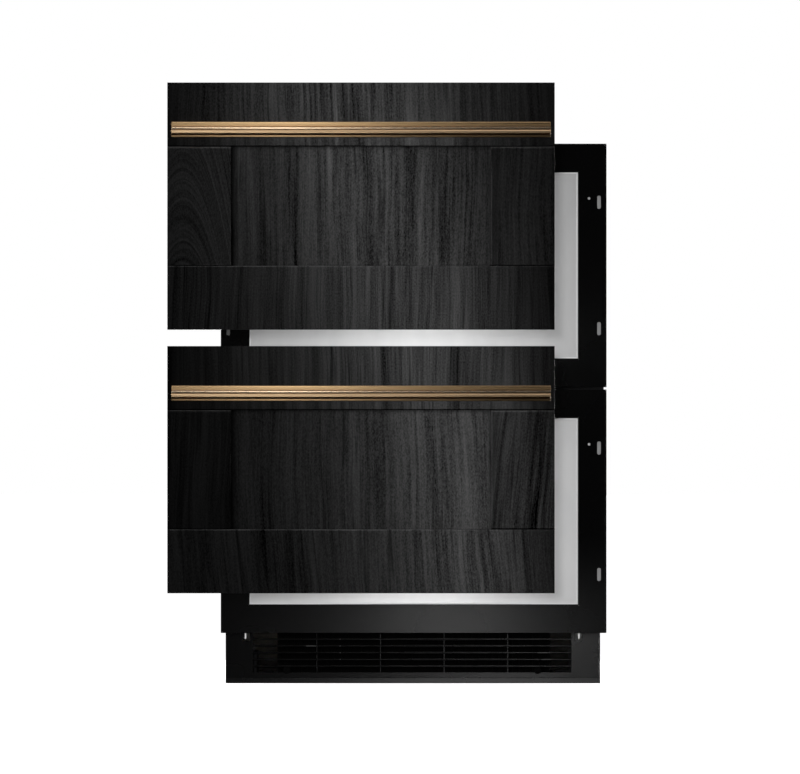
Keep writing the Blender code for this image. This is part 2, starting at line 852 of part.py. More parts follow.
def make_controls():
    """The control housing on the upper compartment's ceiling, with two sprung buttons."""
    low = (-CONTROL_HALF_WIDTH, CONTROL_FRONT, PANEL_TOP - CONTROL_HEIGHT)
    high = (CONTROL_HALF_WIDTH, CONTROL_FRONT + 0.034, PANEL_TOP)
    housing = bevel(block("control_panel", low, high), 0.0015, segments=2)
    middle = PANEL_TOP - CONTROL_HEIGHT / 2
    for name, x in (("button_cooler", -BUTTON_X), ("button_warmer", BUTTON_X)):
        pocket = block(
            f"{name}_pocket",
            (x - BUTTON_WIDTH / 2 - GAP, CONTROL_FRONT - 0.01, middle - BUTTON_HEIGHT / 2 - GAP),
            (
                x + BUTTON_WIDTH / 2 + GAP,
                CONTROL_FRONT - BUTTON_PROUD + BUTTON_LENGTH + BUTTON_TRAVEL + GAP,
                middle + BUTTON_HEIGHT / 2 + GAP,
            ),
        )
        cut(housing, pocket)
        button = block(
            name,
            (x - BUTTON_WIDTH / 2, CONTROL_FRONT - BUTTON_PROUD, middle - BUTTON_HEIGHT / 2),
            (
                x + BUTTON_WIDTH / 2,
                CONTROL_FRONT - BUTTON_PROUD + BUTTON_LENGTH,
                middle + BUTTON_HEIGHT / 2,
            ),
        )
        body = body_empty(f"{name}_press", (x, CONTROL_FRONT, middle))
        put(bevel(button, 0.0006, segments=1), BLACK_PLASTIC, body)
    put(housing, BLACK_PLASTIC)


# A drawer -----------------------------------------------------------------------------------------
def make_front_frame(name, bottom, body):
    """The black steel surround of a drawer front, with the slots that its panel is screwed through."""
    half, top = FRONT_WIDTH / 2, bottom + FRONT_HEIGHT
    frame = block(name, (-half, FRONT_Y, bottom), (half, FRONT_Y + FRAME_DEPTH, top))
    hollow = block(
        f"{name}_hollow",
        (-half + FRAME_WALL, FRONT_Y + FRAME_SHEET, bottom + FRAME_WALL),
        (half - FRAME_WALL, FRONT_Y + FRAME_DEPTH + 0.01, top - FRAME_WALL),
    )
    window = block(
        f"{name}_window",
        (-half + FRAME_BORDER, FRONT_Y - 0.01, bottom + FRAME_BORDER),
        (half - FRAME_BORDER, FRONT_Y + FRAME_DEPTH, top - FRAME_BORDER),
    )
    slot = block(
        f"{name}_slots",
        (-half + SLOT_FROM_SIDE - SLOT_WIDTH / 2, FRONT_Y - 0.01, bottom + SLOT_FROM_END - SLOT_HEIGHT / 2),
        (-half + SLOT_FROM_SIDE + SLOT_WIDTH / 2, FRONT_Y + 0.01, bottom + SLOT_FROM_END + SLOT_HEIGHT / 2),
    )
    bevel(slot, 0.0027, segments=3)
    repeat(slot, 2, (FRONT_WIDTH - 2 * SLOT_FROM_SIDE, 0.0, 0.0))
    repeat(slot, 2, (0.0, 0.0, FRONT_HEIGHT - 2 * SLOT_FROM_END))
    pilot_at = (half - PILOT_FROM_SIDE, FRONT_Y, top - PILOT_FROM_TOP)
    pilot = cylinder(f"{name}_pilot", pilot_at, PILOT_RADIUS, 0.02, axis="Y", sides=16)
    put(cut(frame, hollow, window, slot, pilot), BLACK_STEEL, body)


def make_front_core(name, bottom, body):
    """The foamed door body. Its grey skin shows in the frame's window."""
    inset = FRAME_WALL + 0.0007
    core = block(
        name,
        (-CORE_HALF_WIDTH, FRONT_Y + FRAME_SHEET + GAP, bottom + inset),
        (CORE_HALF_WIDTH, CORE_BACK, bottom + FRONT_HEIGHT - inset),
    )
    put(core, GREY_STEEL, body)


def make_front_liner(name, bottom, body):
    """The white inside of the drawer front: a plate with a raised plug."""
    inset, plug_inset = 0.003, 0.034
    plate = block(
        name,
        (-CORE_HALF_WIDTH + 0.001, CORE_BACK + GAP, bottom + inset),
        (CORE_HALF_WIDTH - 0.001, DOOR_LINER_BACK, bottom + FRONT_HEIGHT - inset),
    )
    plug = block(
        f"{name}_plug",
        (-BIN_HALF_WIDTH + 0.006, DOOR_LINER_BACK - 0.001, bottom + plug_inset),
        (BIN_HALF_WIDTH - 0.006, PLUG_BACK, bottom + FRONT_HEIGHT - plug_inset),
    )
    put(join(plate, plug), WHITE_PLASTIC, body)


def make_gasket(name, bottom, body):
    """The magnetic seal round the back of the drawer front."""
    low, high = bottom + GASKET_INSET, bottom + FRONT_HEIGHT - GASKET_INSET
    front, back = DOOR_LINER_BACK + GAP, CABINET_FRONT - GAP
    ring = block(name, (-GASKET_HALF_WIDTH, front, low), (GASKET_HALF_WIDTH, back, high))
    inside = block(
        f"{name}_inside",
        (-GASKET_HALF_WIDTH + GASKET_BAR, front - 0.01, low + GASKET_BAR),
        (GASKET_HALF_WIDTH - GASKET_BAR, back + 0.01, high - GASKET_BAR),
    )
    put(cut(ring, inside), SEAL_RUBBER, body)


def make_upper_bin(name, body):
    bin_box = open_block(name, (-BIN_HALF_WIDTH, BIN_FRONT, 0.498), (BIN_HALF_WIDTH, BIN_BACK, 0.780), 2, 1)
    put(thicken(bin_box, BIN_WALL, -1.0), WHITE_PLASTIC, body)


def make_lower_bin(name, body):
    """As the upper bin, but its floor rises at the back over the machine space."""
    floor, top, raised = 0.116, 0.400, STEP_Z + 0.010
    outline = [
        (BIN_FRONT, top),
        (BIN_FRONT, floor),
        (STEP_Y - 0.014, floor),
        (STEP_Y - 0.014, raised),
        (BIN_BACK, raised),
        (BIN_BACK, top),
    ]
    bin_box = prism(name, outline, -BIN_HALF_WIDTH, BIN_HALF_WIDTH)
    bm = bmesh.new()
    bm.from_mesh(bin_box.data)
    lid = [f for f in bm.faces if f.normal.z > 0.5]
    bmesh.ops.delete(bm, geom=lid, context="FACES")
    bm.to_mesh(bin_box.data)
    bm.free()
    put(thicken(bin_box, BIN_WALL, -1.0), WHITE_PLASTIC, body)


def channel(name, side, web_x, lip_x, half_height, middle_z, back, body):
    """One member of a telescopic runner: a web with a lip above and below, drawn along Y."""
    sheet = RUNNER_SHEET if lip_x > web_x else -RUNNER_SHEET
    outline = [
        (side * web_x, middle_z - half_height),
        (side * lip_x, middle_z - half_height),
        (side * lip_x, middle_z - half_height + RUNNER_SHEET),
        (side * (web_x + sheet), middle_z - half_height + RUNNER_SHEET),
        (side * (web_x + sheet), middle_z + half_height - RUNNER_SHEET),
        (side * lip_x, middle_z + half_height - RUNNER_SHEET),
        (side * lip_x, middle_z + half_height),
        (side * web_x, middle_z + half_height),
    ]
    put(prism(name, outline, RUNNER_FRONT, back, axis="Y"), ZINC, body)


def make_runners(level, middle_z, drawer, middle):
    """Both telescopic runners of a drawer: fixed, middle and drawer members nested in one another."""
    wall = LINER_HALF_WIDTH - LINER
    for side, hand in ((-1, "left"), (1, "right")):
        fixed_web = wall - GAP
        channel(
            f"{level}_runner_fixed_{hand}",
            side,
            fixed_web,
            wall - 0.0095,
            0.0225,
            middle_z,
            RUNNER_BACK,
            None,
        )
        channel(
            f"{level}_runner_middle_{hand}",
            side,
            wall - 0.0037,
            wall - 0.0115,
            0.0205,
            middle_z,
            RUNNER_BACK - 0.006,
            middle,
        )
        channel(
            f"{level}_runner_drawer_{hand}",
            side,
            BIN_HALF_WIDTH + GAP,
            wall - 0.0063,
            0.0183,
            middle_z,
            RUNNER_BACK - 0.012,
            drawer,
        )


# A wooden panel -----------------------------------------------------------------------------------
def wooden_member(name, low, high, groove, body):
    member = block(name, low, high)
    bevel(member, 0.0009, segments=1)
    cut(member, groove)
    put(member, BLACK_WOOD, body)


def make_wooden_panel(level, bottom, body):
    """Two rails, two stiles and a sunk field that sits in a groove round their inner edges."""
    back = body.location.y
    front = back - PANEL_THICKNESS
    centre_x = body.location.x
    left, right = centre_x - PANEL_WIDTH / 2, centre_x + PANEL_WIDTH / 2
    top = bottom + PANEL_HEIGHT
    inner_left, inner_right = left + RAIL_WIDTH, right - RAIL_WIDTH
    inner_bottom, inner_top = bottom + RAIL_WIDTH, top - RAIL_WIDTH
    tongue = GROOVE_DEPTH - GAP
    field_front = front + FIELD_RECESS
    field_low = (inner_left - tongue, field_front, inner_bottom - tongue)
    field_high = (inner_right + tongue, field_front + FIELD_THICKNESS, inner_top + tongue)
    put(block(f"{level}_panel_field", field_low, field_high), BLACK_WOOD, body)

    members = {
        "top_rail": ((left, front, inner_top + GAP / 2), (right, back, top)),
        "bottom_rail": ((left, front, bottom), (right, back, inner_bottom - GAP / 2)),
        "left_stile": ((left, front, inner_bottom + GAP / 2), (inner_left, back, inner_top - GAP / 2)),
        "right_stile": ((inner_right, front, inner_bottom + GAP / 2), (right, back, inner_top - GAP / 2)),
    }
    room = Vector((GAP, GAP, GAP))
    for part, (low, high) in members.items():
        groove = block(f"{level}_{part}_groove", Vector(field_low) - room, Vector(field_high) + room)
        wooden_member(f"{level}_panel_{part}", low, high, groove, body)
    make_handle(level, front - GAP, top - HANDLE_BELOW_TOP, centre_x, body)


def arc(centre, radius, start, end, steps):
    """Points round a centre of (y, z), between two angles in degrees."""
    points = []
    for step in range(steps + 1):
        angle = math.radians(start + (end - start) * step / steps)
        points.append((centre[0] + radius * math.cos(angle), centre[1] + radius * math.sin(angle)))
    return points


def handle_outline(back, top):
    """The pull's section, front to -Y: a flat, a rib, a bead and a lower lip, with grooves between."""
    front = back - HANDLE_DEPTH
    low = top - HANDLE_HEIGHT
    bead_radius, bead_z = 0.0026, top - 0.0151
    outline = [(back, top), (front + 0.0022, top)]
    outline += [(front, top - 0.0026), (front + 0.0004, top - 0.0068)]
    outline += [(front + 0.0018, top - 0.0072), (front + 0.0018, top - 0.0080)]
    outline += [(front + 0.0002, top - 0.0083), (front + 0.0002, top - 0.0103)]
    outline += [(front + 0.0022, top - 0.0107), (front + 0.0022, bead_z + bead_radius)]
    outline += arc((front + 0.0014, bead_z), bead_radius, 110, 250, 6)
    outline += [(front + 0.0058, top - 0.0182), (front + 0.0058, top - 0.0205)]
    outline += [(front + 0.0012, top - 0.0210), (front + 0.0006, low + 0.0010), (front + 0.0016, low)]
    outline += [(back, low)]
    return outline


def make_handle(level, panel_front, top, centre_x, body):
    back = panel_front - HANDLE_STANDOFF
    half = HANDLE_LENGTH / 2
    bar = prism(f"{level}_handle", handle_outline(back, top), centre_x - half, centre_x + half)
    middle_z = top - HANDLE_HEIGHT / 2
    for side in (-1, 1):
        x = centre_x + side * (half - HANDLE_POST_FROM_END)
        centre_y = panel_front - HANDLE_STANDOFF / 2 - 0.002
        post = cylinder(
            f"{level}_handle_post_{side}",
            (x, centre_y, middle_z),
            HANDLE_POST_RADIUS,
            HANDLE_STANDOFF + 0.004,
            axis="Y",
            sides=16,
        )
        join(bar, post)
    put(bar, BRASS, body)


# The assembly -------------------------------------------------------------------------------------
def make_drawer(level, bottom, runner_z, make_bin):
    drawer = body_empty(f"{level}_drawer_slide", (0.0, FRONT_Y, bottom))
    middle = body_empty(f"{level}_runner_slide", (0.0, RUNNER_FRONT, runner_z))
    make_front_frame(f"{level}_front_frame", bottom, drawer)
    make_front_core(f"{level}_front_core", bottom, drawer)
    make_front_liner(f"{level}_front_liner", bottom, drawer)
    make_gasket(f"{level}_gasket", bottom, drawer)
    make_bin(f"{level}_bin", drawer)
    make_runners(level, runner_z, drawer, middle)
    seat_bottom = bottom + (FRONT_HEIGHT - PANEL_HEIGHT) / 2
    shown = (-DISPLAY_LEFT, FRONT_Y - GAP - DISPLAY_FORWARD, seat_bottom + DISPLAY_UP[level])
    panel = body_empty(f"{level}_panel_carry", shown)
    make_wooden_panel(level, shown[2], panel)


def main():
    make_base_pan()
    for name, (x, y) in foot_places().items():
        make_foot(f"foot_{name}", x, y)
    make_kick_plate()
    make_kick_screw("kick_screw_left", KICK_SHIFT - KICK_SCREW_X)
    make_kick_screw("kick_screw_right", KICK_SHIFT + KICK_SCREW_X)
    make_shell()
    make_insulation()
    make_liners()
    make_mullion()
    make_back_panel()
    make_cord_inlet()
    make_evaporator_cover()
    serpentine("evaporator", (-0.19, 0.182, 0.512), (0.19, 0.182, 0.640), 6, 0.005, ALUMINIUM, upright=True)
    cold_centre = (0.0, COVER_FRONT + 0.010, COLD_FAN_Z)
    fan("evaporator_fan", cold_centre, "Y", COLD_FAN_RADIUS, 0.016, 5, WHITE_PLASTIC)
    make_compressor()
    make_condenser()
    make_fan_frame()
    hot_centre = (HOT_FAN_X - 0.006, HOT_FAN_Y, HOT_FAN_Z)
    fan("condenser_fan", hot_centre, "X", HOT_FAN_RADIUS, 0.016, 5, BLACK_PLASTIC)
    make_drain_pan()
    make_controls()
    make_drawer("upper", FRONTS_BOTTOM + FRONT_PITCH, 0.600, make_upper_bin)
    make_drawer("lower", FRONTS_BOTTOM, 0.300, make_lower_bin)


main()
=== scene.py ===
"""The looks of an undercounter drawer fridge whose wooden drawer panels stand loose in front of it.

Metres, +Z up, the front facing -Y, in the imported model's frame.
"""

import math

import bmesh
import bpy
from mathutils import Matrix, Vector


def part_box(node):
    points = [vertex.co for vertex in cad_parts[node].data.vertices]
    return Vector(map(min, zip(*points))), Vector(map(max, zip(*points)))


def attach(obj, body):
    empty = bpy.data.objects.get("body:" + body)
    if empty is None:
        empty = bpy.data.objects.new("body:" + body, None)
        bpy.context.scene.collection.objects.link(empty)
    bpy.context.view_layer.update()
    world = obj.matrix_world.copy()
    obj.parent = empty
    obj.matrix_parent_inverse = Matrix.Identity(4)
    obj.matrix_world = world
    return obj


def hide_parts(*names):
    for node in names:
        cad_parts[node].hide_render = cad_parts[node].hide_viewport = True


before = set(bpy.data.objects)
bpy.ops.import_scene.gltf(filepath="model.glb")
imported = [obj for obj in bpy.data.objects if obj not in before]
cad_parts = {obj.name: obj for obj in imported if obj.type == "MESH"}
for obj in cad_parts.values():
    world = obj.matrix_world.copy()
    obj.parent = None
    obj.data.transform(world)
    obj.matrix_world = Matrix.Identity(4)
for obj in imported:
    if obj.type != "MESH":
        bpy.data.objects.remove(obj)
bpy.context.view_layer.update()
LEVELS = ("upper", "lower")
SIDES = (("left", -1), ("right", 1))


# Materials ----------------------------------------------------------------------------------------
def shaded(colour, share):
    return tuple(c * share for c in colour)


class Material:
    """A node material built round one Principled shader."""

    def __init__(self, name, colour, roughness, **sockets):
        self.material = bpy.data.materials.new(name)
        self.material.use_nodes = True
        self.material.diffuse_color = (*colour, 1.0)
        self.tree = self.material.node_tree
        self.shader = self.tree.nodes["Principled BSDF"]
        self.shader.inputs["Base Color"].default_value = (*colour, 1.0)
        self.shader.inputs["Roughness"].default_value = roughness
        for socket, value in sockets.items():
            self.shader.inputs[socket.replace("_", " ")].default_value = value
        self.place = self.add("ShaderNodeTexCoord").outputs["Object"]

    def link(self, **sockets):
        for socket, value in sockets.items():
            self.tree.links.new(value, self.shader.inputs[socket.replace("_", " ")])

    def add(self, kind, inputs=None, **settings):
        made = self.tree.nodes.new(kind)
        for name, value in settings.items():
            setattr(made, name, value)
        for name, value in (inputs or {}).items():
            if isinstance(value, bpy.types.NodeSocket):
                self.tree.links.new(value, made.inputs[name])
            else:
                made.inputs[name].default_value = value
        return made

    def stretched(self, scale, shift=(0.0, 0.0, 0.0)):
        """The object's coordinates in metres, scaled by one number or per axis."""
        scale = (scale,) * 3 if isinstance(scale, float) else scale
        return self.add("ShaderNodeMapping", {"Vector": self.place, "Scale": scale, "Location": shift}).outputs[0]

    def noise_at(self, vector, detail, roughness=0.5):
        inputs = {"Vector": vector, "Scale": 1.0, "Detail": detail, "Roughness": roughness}
        return self.add("ShaderNodeTexNoise", inputs).outputs["Fac"]

    def noise(self, scale, detail=3.0, shift=(0.0, 0.0, 0.0)):
        return self.noise_at(self.stretched(scale, shift), detail)

    def cells(self, scale):
        return self.add("ShaderNodeTexVoronoi", {"Vector": self.stretched(scale), "Scale": 1.0}, feature="F1").outputs

    def ramp(self, value, low, high, out_low=0.0, out_high=1.0):
        """Maps low..high to out_low..out_high, and holds it there outside."""
        inputs = {"Value": value, "From Min": low, "From Max": high, "To Min": out_low, "To Max": out_high}
        return self.add("ShaderNodeMapRange", inputs).outputs["Result"]

    def math(self, operation, *values):
        return self.add("ShaderNodeMath", dict(enumerate(values)), operation=operation).outputs[0]

    def plus(self, first, second):
        return self.math("ADD", first, second)

    def less(self, first, second):
        return self.math("SUBTRACT", first, second)

    def times(self, first, second):
        return self.math("MULTIPLY", first, second)

    def swing(self, noise, gain):
        """How far a noise is from its middle, times the gain."""
        return self.times(self.less(noise, 0.5), gain)

    def mix(self, factor, first, second, blend="MIX"):
        made = self.add("ShaderNodeMix", data_type="RGBA", blend_type=blend)
        for index, value in ((0, factor), (6, first), (7, second)):
            if isinstance(value, bpy.types.NodeSocket):
                self.tree.links.new(value, made.inputs[index])
            else:
                made.inputs[index].default_value = value if index == 0 else (*value, 1.0)
        return made.outputs[2]

    def dimmed(self, colour, shade):
        """The colour times one number that varies over the surface."""
        grey = self.add("ShaderNodeCombineColor", {0: shade, 1: shade, 2: shade}).outputs[0]
        return self.mix(1.0, colour, grey, "MULTIPLY")

    def bump(self, height, distance, strength=1.0):
        made = self.add("ShaderNodeBump", {"Height": height, "Distance": distance, "Strength": strength})
        self.link(Normal=made.outputs[0])


def powder_coat(name, colour, roughness, level):
    """Black paint baked on steel: a fine orange peel, and slightly uneven gloss."""
    paint = Material(name, colour, roughness, Specular_IOR_Level=level)
    peel = paint.noise(900.0, 2.0)
    paint.link(
        Base_Color=paint.dimmed(colour, paint.ramp(peel, 0.3, 0.7, 0.85, 1.15)),
        Roughness=paint.ramp(paint.noise(9.0, 4.0), 0.3, 0.7, roughness - 0.008, roughness + 0.010),
    )
    paint.bump(peel, 0.000008)
    return paint.material


STAIN = (0.0030, 0.0030, 0.0031)
PALEST_GRAIN = 2.5  # times the stain's own colour


def stained_wood(node, shift, lean=0.0, density=1.0, shade=1.0, contrast=1.0, arches=None, painted_light_and_shade=()):
    """Open-pored timber under black stain, with upright grain. Each board has its own part of the tree.

    arches is (x, z, bend) of the top of a plain-sawn board's arched figure. Each edge entry is (axis, at, width,
    gain): a painted highlight along a lit arris, or painted shade beside a step, in a corner or towards an end, fading
    over the width.
    """
    wood = Material("wood_" + node, STAIN, 0.37, Specular_IOR_Level=0.40)
    plus, less, times, ramp = wood.plus, wood.less, wood.times, wood.ramp
    split = wood.add("ShaderNodeSeparateXYZ", {0: wood.place}).outputs
    x, z = split[0], split[2]
    sway = wood.noise((5.0, 5.0, 3.2), 2.0, shift)
    across = plus(plus(x, wood.swing(sway, 0.030)), times(z, lean))
    up = z
    if arches:
        off = less(x, arches[0])
        across = plus(less(z, arches[1]), times(times(off, off), arches[2]))
        across = plus(across, wood.swing(sway, 0.020))
        up = times(x, 0.6)

    def figure(per_metre, along, detail, roughness=0.55):
        vector = wood.add("ShaderNodeCombineXYZ", {0: across, 1: 0.0, 2: up}).outputs[0]
        scale = (per_metre * density, 1.0, along)
        placed = wood.add("ShaderNodeMapping", {"Vector": vector, "Scale": scale, "Location": shift})
        return wood.noise_at(placed.outputs[0], detail, roughness)

    grain = figure(24.0, 0.9, 5.0, 0.80)
    lines = figure(150.0, 3.6, 3.0, 0.75)
    fleck = wood.noise((620.0, 620.0, 330.0), 1.0, shift)
    threads = ramp(figure(190.0, 5.0, 2.0), 0.57, 0.70)
    gathered = ramp(wood.noise((13.0, 13.0, 2.6), 2.0, shift), 0.46, 0.62)
    seam = ramp(wood.math("ABSOLUTE", less(figure(46.0, 0.7, 1.0), 0.5)), 0.0, 0.012)
    tone = 1.0
    for noise, gain in ((grain, 3.3 * contrast), (lines, 2.3 * contrast), (fleck, 1.6)):
        tone = plus(tone, wood.swing(noise, gain))
    dug = times(threads, plus(0.15, times(gathered, 0.55 * contrast)))
    tone = times(tone, less(1.0, dug))
    tone = times(tone, ramp(seam, 0.0, 1.0, 1.0 - 0.38 * contrast, 1.0))
    # Painted light and shade: paler bands on lit arrises as painted highlights, darker bands beside steps, in corners
    # and towards the ends as painted shadow.
    for axis, at, width, gain in painted_light_and_shade:
        near = ramp(x if axis == "x" else z, at, at + width, 1.0, 0.0)
        tone = times(tone, plus(1.0, times(near, gain)))
    share = ramp(tone, 0.0, PALEST_GRAIN)
    wood.link(
        Base_Color=wood.mix(share, (0.0, 0.0, 0.0), shaded(STAIN, PALEST_GRAIN * shade)),
        Specular_IOR_Level=ramp(share, 0.0, 1.0, 0.0, shade),
        Roughness=ramp(tone, 0.5, 1.5, 0.305, 0.275),
    )
    wood.bump(tone, 0.000004, 0.8)
    return wood.material


def panel_wood(level, member, shift, **options):
    """The stain of one member, with painted highlights on its lit arrises and painted shadow beside its neighbours and
    towards its ends.
    """
    low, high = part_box(f"{level}_panel_{member}")
    stile_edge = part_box(f"{level}_panel_left_stile")[1].x
    right_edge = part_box(f"{level}_panel_right_stile")[0].x
    field_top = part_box(f"{level}_panel_top_rail")[0].z
    # Positive gains paint highlights on lit arrises; negative gains paint shadow under the rails, beside the stiles
    # and towards the ends.
    painted_light_and_shade = {
        "top_rail": [("z", low.z, 0.0024, -0.85), ("x", low.x, 0.10, -0.70), ("x", high.x, -0.09, -0.60)],
        "bottom_rail": [("z", high.z, -0.0024, 1.6), ("x", low.x, 0.0020, -0.6), ("x", high.x, -0.12, -0.68)],
        "left_stile": [("z", high.z, -0.0040, 2.3), ("x", high.x, -0.0025, -0.4), ("z", low.z, 0.0020, -0.7)],
        "right_stile": [
            ("z", high.z, -0.0036, 2.4), ("z", low.z, 0.0022, -0.7),
            ("x", low.x, 0.0030, 3.6), ("x", low.x, 0.026, -0.50),
        ],
        "field": [
            ("x", stile_edge, 0.0125, -0.9), ("x", right_edge, -0.0100, -0.20), ("z", field_top, -0.0060, -0.5),
        ],
    }[member]
    return stained_wood(f"{level}_{member}", shift, painted_light_and_shade=painted_light_and_shade, **options)


def brush_marks(metal, scale):
    """Brush marks stretched along one axis, alone and with cloudy wear mixed in."""
    marks = metal.noise(scale)
    return marks, metal.plus(metal.times(marks, 0.6), metal.times(metal.noise(7.0, 4.0), 0.4))


def brushed_metal(name, colour, roughness, lengthwise, aniso):
    """Metal with brush marks along one axis: 0 for X, 1 for Y and 2 for Z."""
    metal = Material(name, colour, roughness, Metallic=1.0, Anisotropic=aniso)
    scale = [2600.0, 2600.0, 2600.0]
    scale[lengthwise] = 5.0
    marks, worn = brush_marks(metal, scale)
    metal.link(
        Base_Color=metal.mix(metal.ramp(worn, 0.35, 0.65), shaded(colour, 0.93), colour),
        Roughness=metal.ramp(worn, 0.3, 0.7, roughness - 0.03, roughness + 0.04),
    )
    metal.bump(marks, 0.0000004, 0.5)
    return metal.material


def pull_brass(level):
    """Brushed brass, painted paler along the pull's rib and bead as a painted highlight, and painted darker on its
    lower lip as painted shade.
    """
    colour, pale = (0.66, 0.43, 0.22), (0.80, 0.64, 0.46)
    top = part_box(f"{level}_handle")[1].z
    metal = Material(f"brushed_brass_{level}", colour, 0.30, Metallic=1.0)
    plus, times = metal.plus, metal.times
    z = metal.add("ShaderNodeSeparateXYZ", {0: metal.place}).outputs[2]
    worn = brush_marks(metal, (4.0, 2600.0, 2600.0))[1]

    def band(upper, lower):
        """1 between two depths below the pull's top, and 0 elsewhere."""
        return metal.math("COMPARE", z, top - (upper + lower) / 2, (lower - upper) / 2)

    flat, rib, bead, lip = band(0.0034, 0.0075), band(0.0080, 0.0120), band(0.0122, 0.0185), band(0.0209, 0.0250)
    brushed = metal.mix(metal.ramp(worn, 0.35, 0.65), shaded(colour, 0.9), colour)
    # The rib and bead are painted paler brass: a painted highlight.
    painted_highlight = metal.mix(plus(times(rib, 0.75), times(bead, 0.25)), brushed, pale)
    rough = metal.ramp(worn, 0.3, 0.7, 0.26, 0.31)
    for where, more in ((flat, 0.07), (rib, -0.03), (bead, 0.09), (lip, 0.01)):
        rough = plus(rough, times(where, more))
    # The lower lip is painted darker brass: painted shade.
    metal.link(Base_Color=metal.mix(lip, painted_highlight, shaded(colour, 0.52)), Roughness=rough)
    return metal.material


def moulded(name, colour, roughness, grain=1500.0, depth=0.00004):
    """Moulded plastic or rubber with a spark-eroded grain."""
    plastic = Material(name, colour, roughness)
    fine, cloud = plastic.noise(grain, 2.0), plastic.noise(14.0)
    paler = tuple(min(1.0, c * 1.02 + 0.001) for c in colour)
    plastic.link(
        Base_Color=plastic.mix(plastic.ramp(cloud, 0.35, 0.65), shaded(colour, 0.97), paler),
        Roughness=plastic.ramp(fine, 0.3, 0.7, roughness - 0.05, roughness + 0.05),
    )
    plastic.bump(fine, depth)
    return plastic.material


def grey_skin():
    """The drawer front's coated sheet: light grey, faintly mottled, painted darker towards the top as painted shade.
    """
    skin = Material("grey_front_skin", (0.72, 0.72, 0.72), 0.36, Metallic=0.5)
    mottle, fine = skin.noise((40.0, 40.0, 14.0), 5.0), skin.noise(1800.0, 2.0)
    tone = skin.mix(skin.ramp(mottle, 0.3, 0.7), (0.70, 0.70, 0.703), (0.75, 0.75, 0.75))
    height = skin.add("ShaderNodeSeparateXYZ", {0: skin.place}).outputs[2]
    skin.link(
        # Painted shade: the skin's colour darkens towards the top.
        Base_Color=skin.dimmed(tone, skin.ramp(height, 0.19, 0.76, 1.09, 0.79)),
        Roughness=skin.ramp(fine, 0.3, 0.7, 0.29, 0.33),
    )
    skin.bump(fine, 0.000003)
    return skin.material


def galvanised(name, colour, metallic):
    """Zinc-coated sheet with its spangle."""
    zinc = Material(name, colour, 0.38, Metallic=metallic)
    grey = zinc.add("ShaderNodeSeparateColor", {0: zinc.cells(110.0)["Color"]}).outputs[0]
    zinc.link(Base_Color=zinc.mix(grey, shaded(colour, 0.92), colour), Roughness=zinc.ramp(grey, 0.0, 1.0, 0.34, 0.44))
    zinc.bump(zinc.noise(700.0, 2.0), 0.00003)
    return zinc.material


def foam_core():
    """Rigid foam with its cells showing where it is cut."""
    foam = Material("rigid_foam", (0.74, 0.66, 0.44), 0.92)
    foam.link(Base_Color=foam.mix(foam.noise(11.0, 4.0), (0.66, 0.57, 0.35), (0.80, 0.73, 0.52)))
    foam.bump(foam.cells(650.0)["Distance"], 0.0004)
    return foam.material


def dark_glass():
    glass = Material("display_glass", (0.006, 0.007, 0.009), 0.06, Coat_Weight=0.6)
    glass.link(Roughness=glass.ramp(glass.noise(60.0), 0.3, 0.7, 0.05, 0.10))
    return glass.material


BLACK_COAT = powder_coat("black_powder_coat", (0.0012, 0.0012, 0.0013), 0.27, 0.30)
CABINET_COAT = powder_coat("cabinet_powder_coat", (0.010, 0.010, 0.0105), 0.40, 0.5)
CONDENSER_BLACK = powder_coat("condenser_black", (0.002, 0.002, 0.002), 0.8, 0.1)
WOOD = {
    f"{level}_panel_{member}": panel_wood(level, member, shift, **options)
    for level, member, shift, options in (
        ("upper", "top_rail", (3.1, 0.2, 0.7), {"lean": 0.02}),
        ("upper", "bottom_rail", (9.4, 0.5, 1.9), {"lean": -0.03, "density": 1.15, "shade": 0.88}),
        ("upper", "left_stile", (1.7, 0.1, 4.4), {"density": 0.6, "arches": (-0.359, 0.815, 38.0)}),
        ("upper", "right_stile", (6.3, 0.9, 2.2), {"density": 1.2, "shade": 0.74}),
        ("upper", "field", (5.5, 0.3, 3.8), {"lean": -0.015}),
        ("lower", "top_rail", (12.6, 0.4, 5.1), {"lean": 0.02, "shade": 0.85}),
        ("lower", "bottom_rail", (15.2, 0.8, 6.3), {"lean": 0.10, "density": 0.9}),
        ("lower", "left_stile", (18.9, 0.6, 7.7), {"density": 1.1, "shade": 0.55}),
        ("lower", "right_stile", (21.3, 0.7, 8.2), {"lean": -0.10, "density": 1.3, "shade": 0.72, "contrast": 1.2}),
        ("lower", "field", (24.8, 0.2, 9.6), {"lean": 0.02, "contrast": 0.85}),
    )
}
BRASS = {level: pull_brass(level) for level in LEVELS}
GREY_SKIN = grey_skin()
WHITE_PLASTIC = moulded("white_moulding", (0.78, 0.79, 0.80), 0.34)
BLACK_PLASTIC = moulded("black_moulding", (0.014, 0.014, 0.015), 0.48)
DRAWER_PLASTIC = moulded("bin_moulding", (0.74, 0.76, 0.78), 0.26, grain=1900.0, depth=0.00002)
RUBBER = moulded("seal_rubber", (0.060, 0.060, 0.063), 0.62, grain=900.0)
LAMP = moulded("lamp_diffuser", (0.90, 0.91, 0.92), 0.30)
NUT_GREY = moulded("slide_nut_grey", (0.32, 0.32, 0.32), 0.5)
# Grey for the clip legs, and for pale marks on the grille bars that are painted glints.
LEG_AND_GLINT_GREY = moulded("keeper_grey", (0.06, 0.06, 0.06), 0.4)
# The window bead is coloured paler than the skin: a painted highlight.
BEAD_PAINTED_HIGHLIGHT = moulded("window_trim", (0.84, 0.84, 0.84), 0.4)
